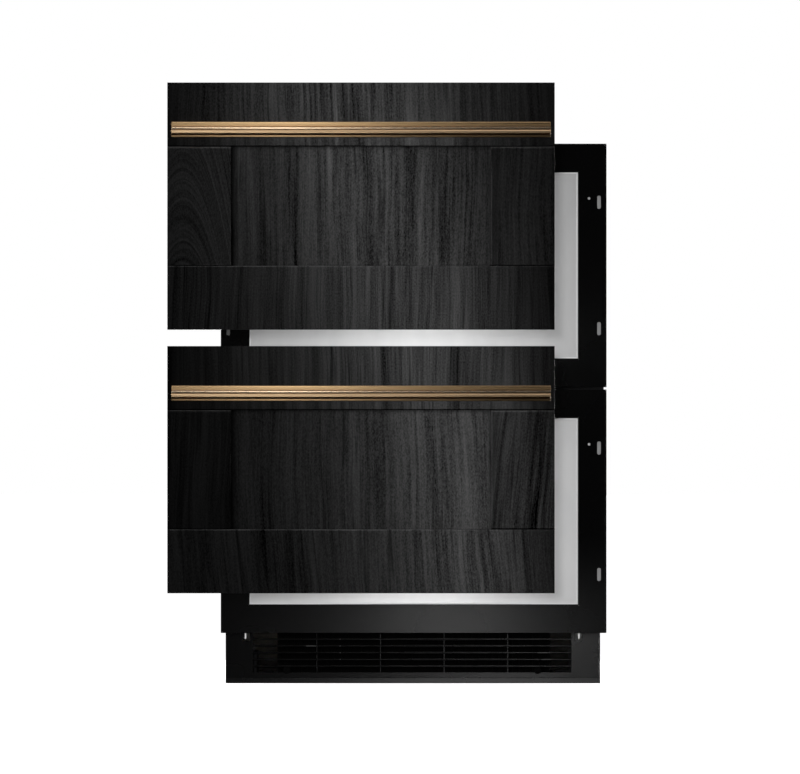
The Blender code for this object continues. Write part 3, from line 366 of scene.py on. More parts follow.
# The steel clips are coloured near white rather than metallic: a painted highlight.
CLIP_PAINTED_HIGHLIGHT = moulded("clip_steel", (0.90, 0.90, 0.89), 0.36)
FOAM = foam_core()
ZINC = galvanised("runner_zinc", (0.56, 0.57, 0.59), 0.5)
BACK_ZINC = galvanised("back_sheet_zinc", (0.56, 0.57, 0.58), 0.75)
COIL_ALUMINIUM = brushed_metal("coil_aluminium", (0.72, 0.73, 0.74), 0.36, 0, 0.2)
COPPER = brushed_metal("copper_pipe", (0.72, 0.38, 0.24), 0.30, 0, 0.2)
BRIGHT_STEEL = brushed_metal("bright_clip_steel", (0.80, 0.80, 0.79), 0.22, 2, 0.3)
DARK_GLASS = dark_glass()

CAD_FINISH = {
    node: material
    for material, nodes in (
        (CABINET_COAT, "base_pan cabinet_shell mullion compressor"),
        (BLACK_COAT, "kick_plate upper_front_frame lower_front_frame"),
        (BACK_ZINC, "back_panel"),
        (GREY_SKIN, "upper_front_core lower_front_core"),
        (WHITE_PLASTIC, "upper_liner lower_liner upper_front_liner lower_front_liner evaporator_cover evaporator_fan"),
        (DRAWER_PLASTIC, "upper_bin lower_bin"),
        (FOAM, "insulation"),
        (RUBBER, "upper_gasket lower_gasket"),
        (CONDENSER_BLACK, "condenser"),
        (COIL_ALUMINIUM, "evaporator"),
        (BRASS["upper"], "upper_handle"),
        (BRASS["lower"], "lower_handle"),
    )
    for node in nodes.split()
}
SLOTS = {
    material.name: slot
    for slot, materials in (
        ("black_steel", (BLACK_COAT, CABINET_COAT, CONDENSER_BLACK)),
        ("brass", (*BRASS.values(), COPPER)),
        ("white_plastic", (WHITE_PLASTIC, DRAWER_PLASTIC, LAMP)),
        ("black_plastic", (BLACK_PLASTIC, DARK_GLASS)),
        ("seal_rubber", (RUBBER,)),
        ("grey_steel", (BACK_ZINC, NUT_GREY)),
        ("zinc", (BRIGHT_STEEL, LEG_AND_GLINT_GREY, CLIP_PAINTED_HIGHLIGHT)),
        ("front_core", (BEAD_PAINTED_HIGHLIGHT,)),
        ("aluminium", (COIL_ALUMINIUM,)),
        ("black_wood", tuple(WOOD.values())),
    )
    for material in materials
}


def finish_for(node):
    if node in CAD_FINISH:
        return CAD_FINISH[node]
    if "runner" in node:
        return ZINC
    if "_panel_" in node:
        return WOOD[node]
    return BLACK_PLASTIC


for name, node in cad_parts.items():
    node.data.materials.clear()
    node.data.materials.append(finish_for(name))


# Building pieces ----------------------------------------------------------------------------------
SHARP_ANGLE = math.radians(38)


def mm(*points):
    return [tuple(value / 1000 for value in point) for point in points]


def along(axis, across, up, at):
    """A point from two coordinates across an axis (0, 1 or 2) and one along it."""
    return Vector(((at, across, up), (across, at, up), (across, up, at))[axis])


def add_loops(bm, loops, closed=False):
    """Skins a row of equally long point loops, and caps its ends unless the row closes on itself."""
    rings = [[bm.verts.new(point) for point in loop] for loop in loops]
    following = rings[1:] + rings[:1] if closed else rings[1:]
    for first, second in zip(rings, following):
        for index in range(len(first)):
            after = (index + 1) % len(first)
            bm.faces.new((first[index], first[after], second[after], second[index]))
    if not closed:
        bm.faces.new(rings[0][::-1])
        bm.faces.new(rings[-1])


def add_stack(bm, steps, axis=1):
    """A solid through (outline, distance along the axis) steps."""
    add_loops(bm, [[along(axis, a, b, at) for a, b in outline] for outline, at in steps])


def add_prism(bm, outline, start, end, axis=1):
    add_stack(bm, [(outline, start), (outline, end)], axis)


def add_block(bm, low, high):
    add_prism(bm, rect(low[1], low[2], high[1], high[2]), low[0], high[0], axis=0)


def add_turned(bm, profile, centre, axis=1, sides=32):
    """A profile of (radius, distance along) points, turned round an axis through the centre."""
    angles = [2 * math.pi * index / sides for index in range(sides)]
    loops = []
    for radius, at in profile:
        loops.append([Vector(centre) + along(axis, radius * math.cos(a), radius * math.sin(a), at) for a in angles])
    add_loops(bm, loops)


def add_tube(bm, points, radius, sides=10, closed=False):
    """A round bar along the points."""
    points = [Vector(point) for point in points]
    angles = [2 * math.pi * step / sides for step in range(sides)]
    count = len(points)
    normal = None
    loops = []
    for index, point in enumerate(points):
        before = points[index - 1] if closed or index > 0 else point
        after = points[(index + 1) % count] if closed or index < count - 1 else point
        tangent = (after - before).normalized()
        normal = normal or tangent.orthogonal()
        normal = (normal - tangent * normal.dot(tangent)).normalized()
        side = tangent.cross(normal)
        loops.append([point + (normal * math.cos(a) + side * math.sin(a)) * radius for a in angles])
    add_loops(bm, loops, closed)


def rect(a0, b0, a1, b1):
    return [(a0, b0), (a1, b0), (a1, b1), (a0, b1)]


def arc(centre, radius, start, end, steps):
    """Points round a centre, between two angles in degrees."""
    angles = [math.radians(start + (end - start) * step / steps) for step in range(steps + 1)]
    return [(centre[0] + radius * math.cos(a), centre[1] + radius * math.sin(a)) for a in angles]


def round_hole(x, z, radius):
    return arc((x, z), radius, 0, 345, 23)


def rounded(a0, b0, a1, b1, radius, steps=4):
    """The outline of a rectangle with round corners."""
    outline = []
    corners = rect(a0 + radius, b0 + radius, a1 - radius, b1 - radius)
    for index, corner in enumerate(corners[1:] + corners[:1]):
        outline += arc(corner, radius, 90 * index - 90, 90 * index, steps)
    return outline


def pill(a, b, half_a, half_b, radius, steps=4):
    """A round-cornered rectangle about its centre."""
    return rounded(a - half_a, b - half_b, a + half_a, b + half_b, radius, steps)


def corner_loops(low, high, profile):
    """An (inset, y) profile set in each corner of an upright rectangle."""
    corners = ((low.x, low.z, 1, 1), (high.x, low.z, -1, 1), (high.x, high.z, -1, -1), (low.x, high.z, 1, -1))
    return [[Vector((x + right * inset, y, z + up * inset)) for inset, y in profile] for x, z, right, up in corners]


def spread(start, end, count):
    return [start + (end - start) * index / (count - 1) for index in range(count)]


def new_object(name, data):
    obj = bpy.data.objects.new(name, data)
    bpy.context.scene.collection.objects.link(obj)
    return obj


def mesh_object(name, bm):
    mesh = bpy.data.meshes.new(name)
    bm.to_mesh(mesh)
    bm.free()
    return new_object(name, mesh)


def solid_object(name, bm):
    bmesh.ops.recalc_face_normals(bm, faces=bm.faces)
    return mesh_object(name, bm)


def modify(obj, kind, **settings):
    modifier = obj.modifiers.new(kind.lower(), kind)
    for name, value in settings.items():
        setattr(modifier, name, value)


def bevel_edges(obj, width, segments):
    modify(obj, "BEVEL", width=width, segments=segments, limit_method="ANGLE", angle_limit=SHARP_ANGLE)


def bake(obj):
    """Makes what the object's modifiers give its own mesh."""
    bpy.context.view_layer.update()
    obj.data = bpy.data.meshes.new_from_object(obj.evaluated_get(bpy.context.evaluated_depsgraph_get()))
    obj.modifiers.clear()


def carve(obj, cutters):
    """Cuts the cutters out of the object for good, and removes them."""
    for cutter in cutters:
        modify(obj, "BOOLEAN", operation="DIFFERENCE", solver="EXACT", object=cutter)
    bake(obj)
    for cutter in cutters:
        bpy.data.objects.remove(cutter)


def place(obj, material, body, slot=None, replaces=None, bevel=0.0):
    """Finishes a piece's edges and shading, and lets it ride on its body."""
    obj.data.materials.clear()
    obj.data.materials.append(material)
    obj.data.shade_smooth()
    obj.data.set_sharp_from_angle(angle=SHARP_ANGLE)
    if bevel:
        bevel_edges(obj, bevel, 2)
    modify(obj, "WEIGHTED_NORMAL", keep_sharp=True, weight=80)
    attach(obj, body)
    slot or SLOTS[material.name]
    if replaces:
        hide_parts(replaces)


def piece(name, bm, material, body="cabinet", **options):
    place(solid_object(name, bm), material, body, **options)


def cutter(outline, start, end, axis=1):
    bm = bmesh.new()
    add_prism(bm, outline, start, end, axis)
    return solid_object("cutter", bm)


def screw_heads(name, places, axis, sign, radius, body="cabinet", material=BRIGHT_STEEL):
    """Domed screw heads with a socket, standing out along the axis."""
    dome = ((1.0, 0.0), (1.0, 0.25), (0.93, 0.55), (0.76, 0.85), (0.45, 1.0), (0.38, 0.95), (0.32, 0.35))
    height = sign * radius * 0.55
    bm = bmesh.new()
    for centre in places:
        add_turned(bm, [(radius * share, height * rise) for share, rise in dome], centre, axis, sides=20)
    piece(name, bm, material, body)


# The drawer fronts --------------------------------------------------------------------------------
FRAME_BORDER = 0.045
FRAME_SHEET = 0.0025
FRAME_WALL = 0.0015
MITRE_SEAM = 0.00013
SLOT_HALF = (0.0029, 0.01025)
SLOT_FROM_SIDE, SLOT_FROM_END = 0.0118, 0.0920
PILOT_FROM_SIDE, PILOT_FROM_TOP, PILOT_RADIUS = 0.0275, 0.086, 0.0021


def slot_places(level):
    """The slots' (x, z) centres: the two on the left, then the two on the right."""
    low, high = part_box(f"{level}_front_frame")
    columns, rows = (low.x + SLOT_FROM_SIDE, high.x - SLOT_FROM_SIDE), (low.z + SLOT_FROM_END, high.z - SLOT_FROM_END)
    return [(x, z) for x in columns for z in rows]


def make_front_frame(level):
    """Four channels mitred at the corners, with the slots and the pilot hole in the upright ones."""
    low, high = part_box(f"{level}_front_frame")
    front, back, eased = low.y, high.y, 0.0005
    profile = [(0.0, back)] + [(eased - a, front + eased - b) for a, b in arc((0.0, 0.0), eased, 0, 90, 3)]
    profile += [(FRAME_BORDER - 0.0008, front), (FRAME_BORDER, front + 0.0008)]
    profile += [(FRAME_BORDER, front + FRAME_SHEET), (FRAME_WALL, front + FRAME_SHEET), (FRAME_WALL, back)]
    corners = corner_loops(low, high, profile)
    for index, side in enumerate(("bottom", "right", "top", "left")):
        first, second = corners[index], corners[(index + 1) % 4]
        seam = (second[0] - first[0]).normalized() * MITRE_SEAM
        bm = bmesh.new()
        add_loops(bm, [[point + seam for point in first], [point - seam for point in second]])
        bar = solid_object(f"{level}_frame_{side}", bm)
        if side in ("left", "right"):
            slots = slot_places(level)[:2] if side == "left" else slot_places(level)[2:]
            holes = [pill(x, z, *SLOT_HALF, 0.0024, 5) for x, z in slots]
            if side == "right":
                holes.append(round_hole(high.x - PILOT_FROM_SIDE, high.z - PILOT_FROM_TOP, PILOT_RADIUS))
            carve(bar, [cutter(hole, front - 0.002, front + 0.006) for hole in holes])
        place(bar, BLACK_COAT, f"{level}_drawer", replaces=f"{level}_front_frame" if side == "bottom" else None)


def make_corner_plates(level):
    """Black plates inside the mitred corners, which show as fine dark seams."""
    low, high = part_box(f"{level}_front_frame")
    margin = 0.002
    bm = bmesh.new()
    for x in (low.x, high.x - FRAME_BORDER):
        for z in (low.z, high.z - FRAME_BORDER):
            far = (x + FRAME_BORDER - margin, low.y + 0.0018, z + FRAME_BORDER - margin)
            add_block(bm, (x + margin, low.y + 0.0009, z + margin), far)
    piece(f"{level}_corner_plates", bm, CONDENSER_BLACK, f"{level}_drawer")


def make_slot_nuts(level):
    """The grey slide nuts behind the slots, which the panel's screws run into."""
    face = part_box(f"{level}_front_frame")[0].y + FRAME_SHEET + 0.0003
    bm = bmesh.new()
    for x, z in slot_places(level):
        add_prism(bm, pill(x, z, 0.0048, 0.0140, 0.0012, 2), face, face + 0.004)
    piece(f"{level}_slide_nuts", bm, NUT_GREY, f"{level}_drawer", bevel=0.0004)


def make_window_bead(level):
    """The rolled edge of the grey skin, just inside the frame's window, coloured paler than the skin as a painted
    highlight.
    """
    low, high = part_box(f"{level}_front_frame")
    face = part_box(f"{level}_front_core")[0].y
    inset = Vector((FRAME_BORDER + 0.0001, 0.0, FRAME_BORDER + 0.0001))
    roll = 0.0011
    profile = [(0.0, face + 0.0002)] + [(roll - a, face - b) for a, b in arc((0.0, 0.0), roll, 0, 180, 8)]
    bm = bmesh.new()
    add_loops(bm, corner_loops(low + inset, high - inset, profile), closed=True)
    piece(f"{level}_window_bead", bm, BEAD_PAINTED_HIGHLIGHT, f"{level}_drawer")


def make_front_liner(level):
    """The white inside of a drawer front: a plate with a round-cornered plug pressed into it."""
    low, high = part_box(f"{level}_front_liner")
    plate_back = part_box(f"{level}_gasket")[0].y - 0.0003
    rise = high.y - plate_back
    plug_x, plug_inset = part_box(f"{level}_bin")[1].x - 0.006, 0.031
    plate = (low.x, low.z, high.x, high.z)
    plug = (-plug_x, low.z + plug_inset, plug_x, high.z - plug_inset)
    steps = [
        (rounded(a0 + shrink, b0 + shrink, a1 - shrink, b1 - shrink, radius), y)
        for (a0, b0, a1, b1), shrink, y, radius in (
            (plate, 0.0, low.y, 0.008),
            (plate, 0.0, plate_back - 0.0006, 0.008),
            (plate, 0.0006, plate_back, 0.0076),
            (plug, -0.0035, plate_back, 0.020),
            (plug, -0.0012, plate_back + rise * 0.12, 0.018),
            (plug, 0.0, plate_back + rise * 0.35, 0.017),
            (plug, 0.0004, plate_back + rise * 0.75, 0.0166),
            (plug, 0.0016, plate_back + rise * 0.95, 0.0154),
            (plug, 0.0040, high.y, 0.013),
        )
    ]
    bm = bmesh.new()
    add_stack(bm, steps)
    piece(f"{level}_front_inner", bm, WHITE_PLASTIC, f"{level}_drawer", replaces=f"{level}_front_liner")


def make_gasket(level):
    """The magnetic seal: a foot, a bellows fold and the magnet's round pocket, mitred at the corners."""
    low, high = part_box(f"{level}_gasket")
    depth, width = high.y - low.y, 0.012
    half = [(0.0022, 0.0), (0.0022, 0.22), (0.0000, 0.30), (0.0000, 0.42), (0.0020, 0.50)]
    half += [(0.0020, 0.56), (0.0000, 0.64), (0.0000, 0.90), (0.0010, 1.00)]
    profile = [(inset, low.y + share * depth) for inset, share in half]
    profile += [(width - inset, low.y + share * depth) for inset, share in reversed(half)]
    bm = bmesh.new()
    add_loops(bm, corner_loops(low, high, profile), closed=True)
    piece(f"{level}_seal", bm, RUBBER, f"{level}_drawer", replaces=f"{level}_gasket")


# The bins and compartments ------------------------------------------------------------------------
BIN_WALL, LINER_WALL = 0.0025, 0.002
BIN_EDGE, LINER_EDGE = 0.012, 0.006
STEP_Y, STEP_Z = 0.020, 0.230
BIN_STEP_Y, BIN_STEP_Z = STEP_Y - 0.014, STEP_Z + 0.010


def make_tub(name, node, step, open_side, wall, radius, material, body):
    """A thin-walled tub with round edges, open on one side; a step's floor rises behind it."""
    low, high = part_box(node)
    outline = rect(low.y, low.z, high.y, high.z)
    if step:
        outline = [(low.y, high.z), (low.y, low.z), (step[0], low.z), step, (high.y, step[1]), (high.y, high.z)]
    bm = bmesh.new()
    add_prism(bm, outline, low.x, high.x, axis=0)
    bmesh.ops.recalc_face_normals(bm, faces=bm.faces)
    bmesh.ops.delete(bm, geom=[f for f in bm.faces if f.normal.dot(Vector(open_side)) > 0.9], context="FACES_ONLY")
    tub = mesh_object(name, bm)
    bevel_edges(tub, radius, 5)
    modify(tub, "SOLIDIFY", thickness=wall, offset=-1.0, use_even_offset=True)
    bake(tub)
    place(tub, material, body, replaces=node)


def make_compartments():
    """The liners, open at the front, and the bins, open at the top."""
    liner = ((0, -1, 0), LINER_WALL, LINER_EDGE, WHITE_PLASTIC, "cabinet")
    make_tub("upper_compartment", "upper_liner", None, *liner)
    make_tub("lower_compartment", "lower_liner", (STEP_Y, STEP_Z), *liner)
    shell = ((0, 0, 1), BIN_WALL, BIN_EDGE, DRAWER_PLASTIC)
    make_tub("upper_bin_shell", "upper_bin", None, *shell, "upper_drawer")
    make_tub("lower_bin_shell", "lower_bin", (BIN_STEP_Y, BIN_STEP_Z), *shell, "lower_drawer")


def make_bin_rim(level):
    """The rolled rim round the top of a bin, and the ribs pressed into its floor."""
    low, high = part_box(f"{level}_bin")
    inset, z = BIN_WALL / 2, high.z - 0.0006
    outline = rounded(low.x + inset, low.y + inset + 0.0012, high.x - inset, high.y - inset, 0.011, 6)
    bm = bmesh.new()
    add_tube(bm, [(x, y, z) for x, y in outline], 0.0024, sides=12, closed=True)
    piece(f"{level}_bin_rim", bm, DRAWER_PLASTIC, f"{level}_drawer")
    bm = bmesh.new()
    back = high.y if level == "upper" else BIN_STEP_Y
    floor = low.z + BIN_WALL
    for x in spread(low.x + 0.05, high.x - 0.05, 9):
        section = [(x + a, max(floor + b * 0.45, floor - 0.0004)) for a, b in arc((0.0, 0.0), 0.0035, 0, 180, 8)]
        add_prism(bm, section, low.y + 0.030, back - 0.030)
    piece(f"{level}_bin_ribs", bm, DRAWER_PLASTIC, f"{level}_drawer")


def make_mullion_ends():
    """Black end pieces that cover the foam beside the mullion rail."""
    low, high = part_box("mullion")
    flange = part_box("cabinet_shell")[0].y
    cover = 0.0009
    bm = bmesh.new()
    for x in (low.x - cover, high.x):
        add_block(bm, (x, flange - 0.0001, low.z), (x + cover, flange + 0.0014, high.z))
    piece("mullion_ends", bm, BLACK_PLASTIC)


def make_lamps():
    """A lamp lens on each compartment's ceiling."""
    for level in LEVELS:
        low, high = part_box(f"{level}_liner")
        ceiling, y = high.z - LINER_WALL, low.y + 0.110
        lens = mm((0.0, 0.0), (0.0, 1.2), (0.6, 2.2), (2.0, 2.8))
        bm = bmesh.new()
        add_stack(bm, [(pill(0.0, y, 0.055 - inset, 0.012 - inset, 0.006), ceiling - drop) for inset, drop in lens], 2)
        piece(f"{level}_lamp_lens", bm, LAMP)


# The wooden panels --------------------------------------------------------------------------------
ARRIS, CRISP = 0.0015, 0.06
EASED = {
    "top_rail": ("bottom",),
    "bottom_rail": ("top",),
    "left_stile": ("top", "bottom", "right"),
    "right_stile": ("top", "bottom", "left"),
}
HANDLE_POST_FROM_END = 0.045


def make_board(level, member):
    """A panel member with rounded arrises where it meets the others, and crisp ones outside."""
    node = f"{level}_panel_{member}"
    low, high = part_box(node)
    shares = [1.0 if side in EASED[member] else CRISP for side in ("left", "bottom", "right", "top")]
    steps = []
    for turn in spread(0.0, math.pi / 2, 5):
        left, bottom, right, top = (ARRIS * (1 - math.sin(turn)) * share for share in shares)
        outline = rect(low.x + left, low.z + bottom, high.x - right, high.z - top)
        steps.append((outline, low.y + ARRIS * (1 - math.cos(turn))))
    for y, inset in ((high.y - 0.0005, 0.0), (high.y, 0.0005)):
        steps.append((rect(low.x + inset, low.z + inset, high.x - inset, high.z - inset), y))
    bm = bmesh.new()
    add_stack(bm, steps)
    board = solid_object(f"{level}_{member}", bm)
    room = Vector((0.0002, 0.0002, 0.0002))
    field_low, field_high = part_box(f"{level}_panel_field")
    field_low, field_high = field_low - room, field_high + room
    groove = rect(field_low.y, field_low.z, field_high.y, field_high.z)
    holes = [cutter(groove, field_low.x, field_high.x, axis=0)]
    if member == "top_rail":
        for x, z in handle_posts(level):
            holes.append(cutter(round_hole(x, z, 0.0065), high.y - 0.005, high.y + 0.002))
    carve(board, holes)
    place(board, WOOD[node], f"{level}_panel", replaces=node)


def make_tenons(level):
    """The stiles' tenons, which close the joints between them and the rails."""
    field_low, field_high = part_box(f"{level}_panel_field")
    bm = bmesh.new()
    for side in ("left", "right"):
        low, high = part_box(f"{level}_panel_{side}_stile")
        start = low.x + 0.0002 if side == "left" else field_high.x + 0.001
        end = field_low.x - 0.001 if side == "left" else high.x - 0.0002
        for z in (low.z, high.z):
            add_block(bm, (start, field_low.y, z - 0.010), (end, field_high.y, z + 0.010))
    piece(f"{level}_tenons", bm, WOOD[f"{level}_panel_left_stile"], f"{level}_panel")


def handle_posts(level):
    low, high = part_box(f"{level}_handle")
    middle_z = (low.z + high.z) / 2
    return [(low.x + HANDLE_POST_FROM_END, middle_z), (high.x - HANDLE_POST_FROM_END, middle_z)]


def handle_section(front, back, top):
    """The pull's (y, z) section: a flat, a rib and a bead between grooves, and a lower lip."""
    edge, eased, rib, bead = 0.0009, 0.0006, 0.0036, 0.0064
    flat_top, rib_z, bead_z, low = top - 0.0008, top - 0.0100, top - 0.0172, top - 0.0245
    section = [(back, flat_top - eased), (back - eased, flat_top)]
    section += arc((front + edge, flat_top - edge), edge, 90, 180, 4)
    section += [(front + 0.0002, top - 0.0072), (front + 0.0018, top - 0.0079)]
    section += arc((front + 0.0006 + rib, rib_z), rib, 155, 205, 4)
    section += [(front + 0.0036, top - 0.0121)]
    section += arc((front + bead, bead_z), bead, 132, 187, 7)
    section += [(front + 0.0080, top - 0.0203), (front + 0.0016, top - 0.0212)]
    section += arc((front + 0.0010, top - 0.0218), 0.0006, 90, 180, 2)
    section += arc((front + 0.0015, low + 0.0010), 0.0010, 180, 270, 3)
    return section + [(back - eased, low), (back, low + eased)]


def make_handle(level):
    """The solid brass pull: its drawn section with eased ends, on two turned posts with collars."""
    low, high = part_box(f"{level}_handle")
    panel_front, back = high.y, low.y + 0.014
    section = handle_section(low.y, back, high.z)
    half_depth, half_height = 0.007, 0.01225
    middle_y, middle_z = (low.y + back) / 2, (low.z + high.z) / 2
    end = 0.0011
    ends = [(0.0, end), (end * 0.3, end * 0.3), (end, 0.0)]
    loops = []
    for x, inset in [(low.x + x, inset) for x, inset in ends] + [(high.x - x, inset) for x, inset in reversed(ends)]:
        wide, tall = 1 - inset / half_depth, 1 - inset / half_height
        loops.append([(x, middle_y + (y - middle_y) * wide, middle_z + (z - middle_z) * tall) for y, z in section])
    bm = bmesh.new()
    add_loops(bm, loops)
    piece(f"{level}_pull_bar", bm, BRASS[level], f"{level}_panel", replaces=f"{level}_handle")
    collar = mm((8.4, 0.0), (8.8, 0.4), (8.8, 1.6), (8.2, 2.2), (6.4, 2.6), (5.6, 3.6), (5.4, 6.0))
    profile = [(radius, panel_front - out) for radius, out in collar]
    profile += [(radius, back + gap) for radius, gap in mm((5.4, 3.0), (6.0, 1.0), (6.6, -0.4))]
    bm = bmesh.new()
    for x, z in handle_posts(level):
        add_turned(bm, profile, (x, 0.0, z))
    piece(f"{level}_pull_posts", bm, BRASS[level], f"{level}_panel")
    screw_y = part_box(f"{level}_panel_top_rail")[1].y - 0.0045
    places = [(x, screw_y, z) for x, z in handle_posts(level)]
    screw_heads(f"{level}_pull_screws", places, 1, 1, 0.0050, f"{level}_panel")


# The plinth ---------------------------------------------------------------------------------------
KICK_LIP = 0.0080
KICK_SHEET = 0.0020
KICK_FACE = 0.0035  # the face's depth behind the lip's edge
GRILLE_COLUMNS, GRILLE_ROWS = 5, 6
GRILLE_HALF_WIDTH = 0.2503
GRILLE_BOTTOM, GRILLE_TOP = 0.0171, 0.0809
GRILLE_BAR = 0.0018
GRILLE_ROW = (GRILLE_TOP - GRILLE_BOTTOM) / GRILLE_ROWS
NOTCH_X = 0.2610
KICK_SCREW_X, KICK_SCREW_Z = 0.1972, 0.0205


def make_kick_plate():
    """The folded plinth: its face, the grille's thin rounded bars, and a tab for each screw."""
    low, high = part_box("kick_plate")
    middle, lip, top = (low.x + high.x) / 2, low.y, high.z
    front = lip + KICK_FACE
    back = front + KICK_SHEET
    section = [(front, top), (front, KICK_LIP + 0.0012), (front - 0.0001, KICK_LIP + 0.0004)]
    section += [(front - 0.0005, KICK_LIP - 0.0006), (lip, low.z + 0.0004), (lip + 0.0003, low.z)]
    section += [(lip + KICK_SHEET, low.z), (back, KICK_LIP), (back, top)]
    bm = bmesh.new()
    add_prism(bm, section, low.x, high.x, axis=0)
    plate = solid_object("plinth_face", bm)
    left, right = middle - GRILLE_HALF_WIDTH, middle + GRILLE_HALF_WIDTH
    openings = [rounded(left, GRILLE_BOTTOM, right, GRILLE_TOP, 0.0006, 2)]
    for x in (middle - NOTCH_X, middle + NOTCH_X):
        openings.append(rounded(x - 0.006, 0.0655, x + 0.006, top + 0.012, 0.004, 5))
    carve(plate, [cutter(opening, front - 0.01, back + 0.01) for opening in openings])
    place(plate, BLACK_COAT, "cabinet", replaces="kick_plate", bevel=0.0004)

    overlap = 0.0004
    bm = bmesh.new()
    for index in range(1, GRILLE_ROWS):
        z = GRILLE_BOTTOM + GRILLE_ROW * index - GRILLE_BAR / 2
        add_prism(bm, rounded(front, z - 0.0015, back, z + 0.0015, 0.0011), left - overlap, right + overlap, axis=0)
    for index in range(1, GRILLE_COLUMNS):
        x = left + (right - left) / GRILLE_COLUMNS * index
        section = rounded(x - GRILLE_BAR / 2, front + 0.0008, x + GRILLE_BAR / 2, back, 0.0003, 2)
        add_prism(bm, section, GRILLE_BOTTOM - overlap, GRILLE_TOP + overlap, axis=2)
    for x in (middle - KICK_SCREW_X, middle + KICK_SCREW_X):
        tab = rounded(x - 0.0040, GRILLE_BOTTOM - 0.001, x + 0.0040, 0.0240, 0.0008, 2)
        add_prism(bm, tab, front + 0.0012, back)
    piece("plinth_grille", bm, BLACK_COAT)


def make_plinth_details():
    """The spring clips in the notches, white as a painted highlight, pale strips and dots on the bars as painted
    glints, and the two screws.
    """
    low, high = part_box("kick_plate")
    middle, front = (low.x + high.x) / 2, low.y + KICK_FACE
    clips, legs = bmesh.new(), bmesh.new()
    for _, side in SIDES:
        x = middle + side * NOTCH_X
        add_prism(clips, pill(x + side * 0.0012, 0.0750, 0.0012, 0.0050, 0.0005, 3), front - 0.0004, front + 0.0040)
        head, half = x - side * 0.0034, 0.0003
        for foot in (x - side * 0.0050, x - side * 0.0014):
            slanted = [(foot - half, 0.0685), (foot + half, 0.0685), (head + half, 0.0790), (head - half, 0.0790)]
            add_prism(legs, slanted, front + 0.0012, front + 0.0036)
    # The clips' white colour is a painted highlight.
    place(solid_object("plinth_clips", clips), CLIP_PAINTED_HIGHLIGHT, "cabinet", bevel=0.0002)
    piece("plinth_clip_legs", legs, LEG_AND_GLINT_GREY)

    # Short pale strips and dots on the grille bars: painted glints.
    bars = [GRILLE_BOTTOM + GRILLE_ROW * index - GRILLE_BAR / 2 for index in range(1, GRILLE_ROWS + 1)]
    bm = bmesh.new()
    for x, z in ((-0.161, bars[5]), (-0.161, bars[3]), (0.203, bars[2]), (0.209, bars[1])):
        add_prism(bm, pill(x, z, 0.0082, 0.0005, 0.0004, 3), front - 0.0006, front + 0.0010)
    for z in bars[1:]:
        add_turned(bm, mm((0.4, -0.7), (0.8, -0.4), (0.9, 0.0)), (-0.1156, front + 0.0003, z), sides=10)
    piece("grille_keepers", bm, LEG_AND_GLINT_GREY)

    head = mm((5.4, 0.2), (5.616, -0.6), (5.616, -2.0), (5.292, -2.7), (4.644, -3.1))
    head += mm((4.212, -3.0), (3.888, -2.2), (2.808, -2.4), (1.296, -2.9))
    for hand, side in SIDES:
        centre = (middle + side * KICK_SCREW_X, front, KICK_SCREW_Z)
        bm = bmesh.new()
        add_turned(bm, head, centre, sides=36)
        add_turned(bm, mm((1.8, 0.0), (1.8, 12.0)), centre, sides=14)
        black = {"slot": "black_plastic", "replaces": f"kick_screw_{hand}"}
        piece(f"plinth_screw_{hand}", bm, CONDENSER_BLACK, **black)


# The cabinet --------------------------------------------------------------------------------------
def make_cabinet():
    """The folded steel wrap, its front flange, and the screws that hold the back on."""
    low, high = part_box("cabinet_shell")
    sheet, radius = 0.0012, 0.0035
    fold = arc((0.0, 0.0), radius, 0, 90, 5)
    outer = [(low.x, low.z)]
    outer += [(low.x + radius - a, high.z - radius + b) for a, b in fold]
    outer += [(high.x - radius + a, high.z - radius + b) for b, a in fold]
    outer += [(high.x, low.z)]
    inner = []
    for x, z in reversed(outer):
        inner.append((x - math.copysign(sheet, x), z if z < high.z - radius - 0.01 else z - sheet))
    bm = bmesh.new()
    add_prism(bm, outer + inner, low.y, high.y)
    piece("cabinet_wrap", bm, CABINET_COAT, replaces="cabinet_shell", bevel=0.0003)

    bm = bmesh.new()
    add_block(bm, (low.x + sheet, low.y, low.z), (high.x - sheet, low.y + sheet, high.z - sheet))
    flange = solid_object("cabinet_flange", bm)
    corner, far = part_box("lower_liner")[0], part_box("upper_liner")[1]
    gap = 0.0005
    window = rounded(corner.x - gap, corner.z - gap, far.x + gap, far.z + gap, 0.004, 5)
    carve(flange, [cutter(window, low.y - 0.01, low.y + 0.01)])
    place(flange, CABINET_COAT, "cabinet", bevel=0.0003)

    heights = spread(low.z + 0.05, high.z - 0.05, 4)
    head = 0.0042
    for hand, side in SIDES:
        places = [(high.x * side, high.y - 0.018, z) for z in heights]
        screw_heads(f"side_screws_{hand}", places, 0, side, head, material=CABINET_COAT)
    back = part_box("back_panel")[1]
    places = [(side * (high.x - 0.012), back.y, z) for z in heights for side in (-1, 1)]
    places += [(x, back.y, back.z - 0.010) for x in (-0.15, 0.0, 0.15)]
    places += [(x, back.y, 0.030) for x in (-0.275, 0.275)]
    screw_heads("back_screws", places, 1, 1, head)


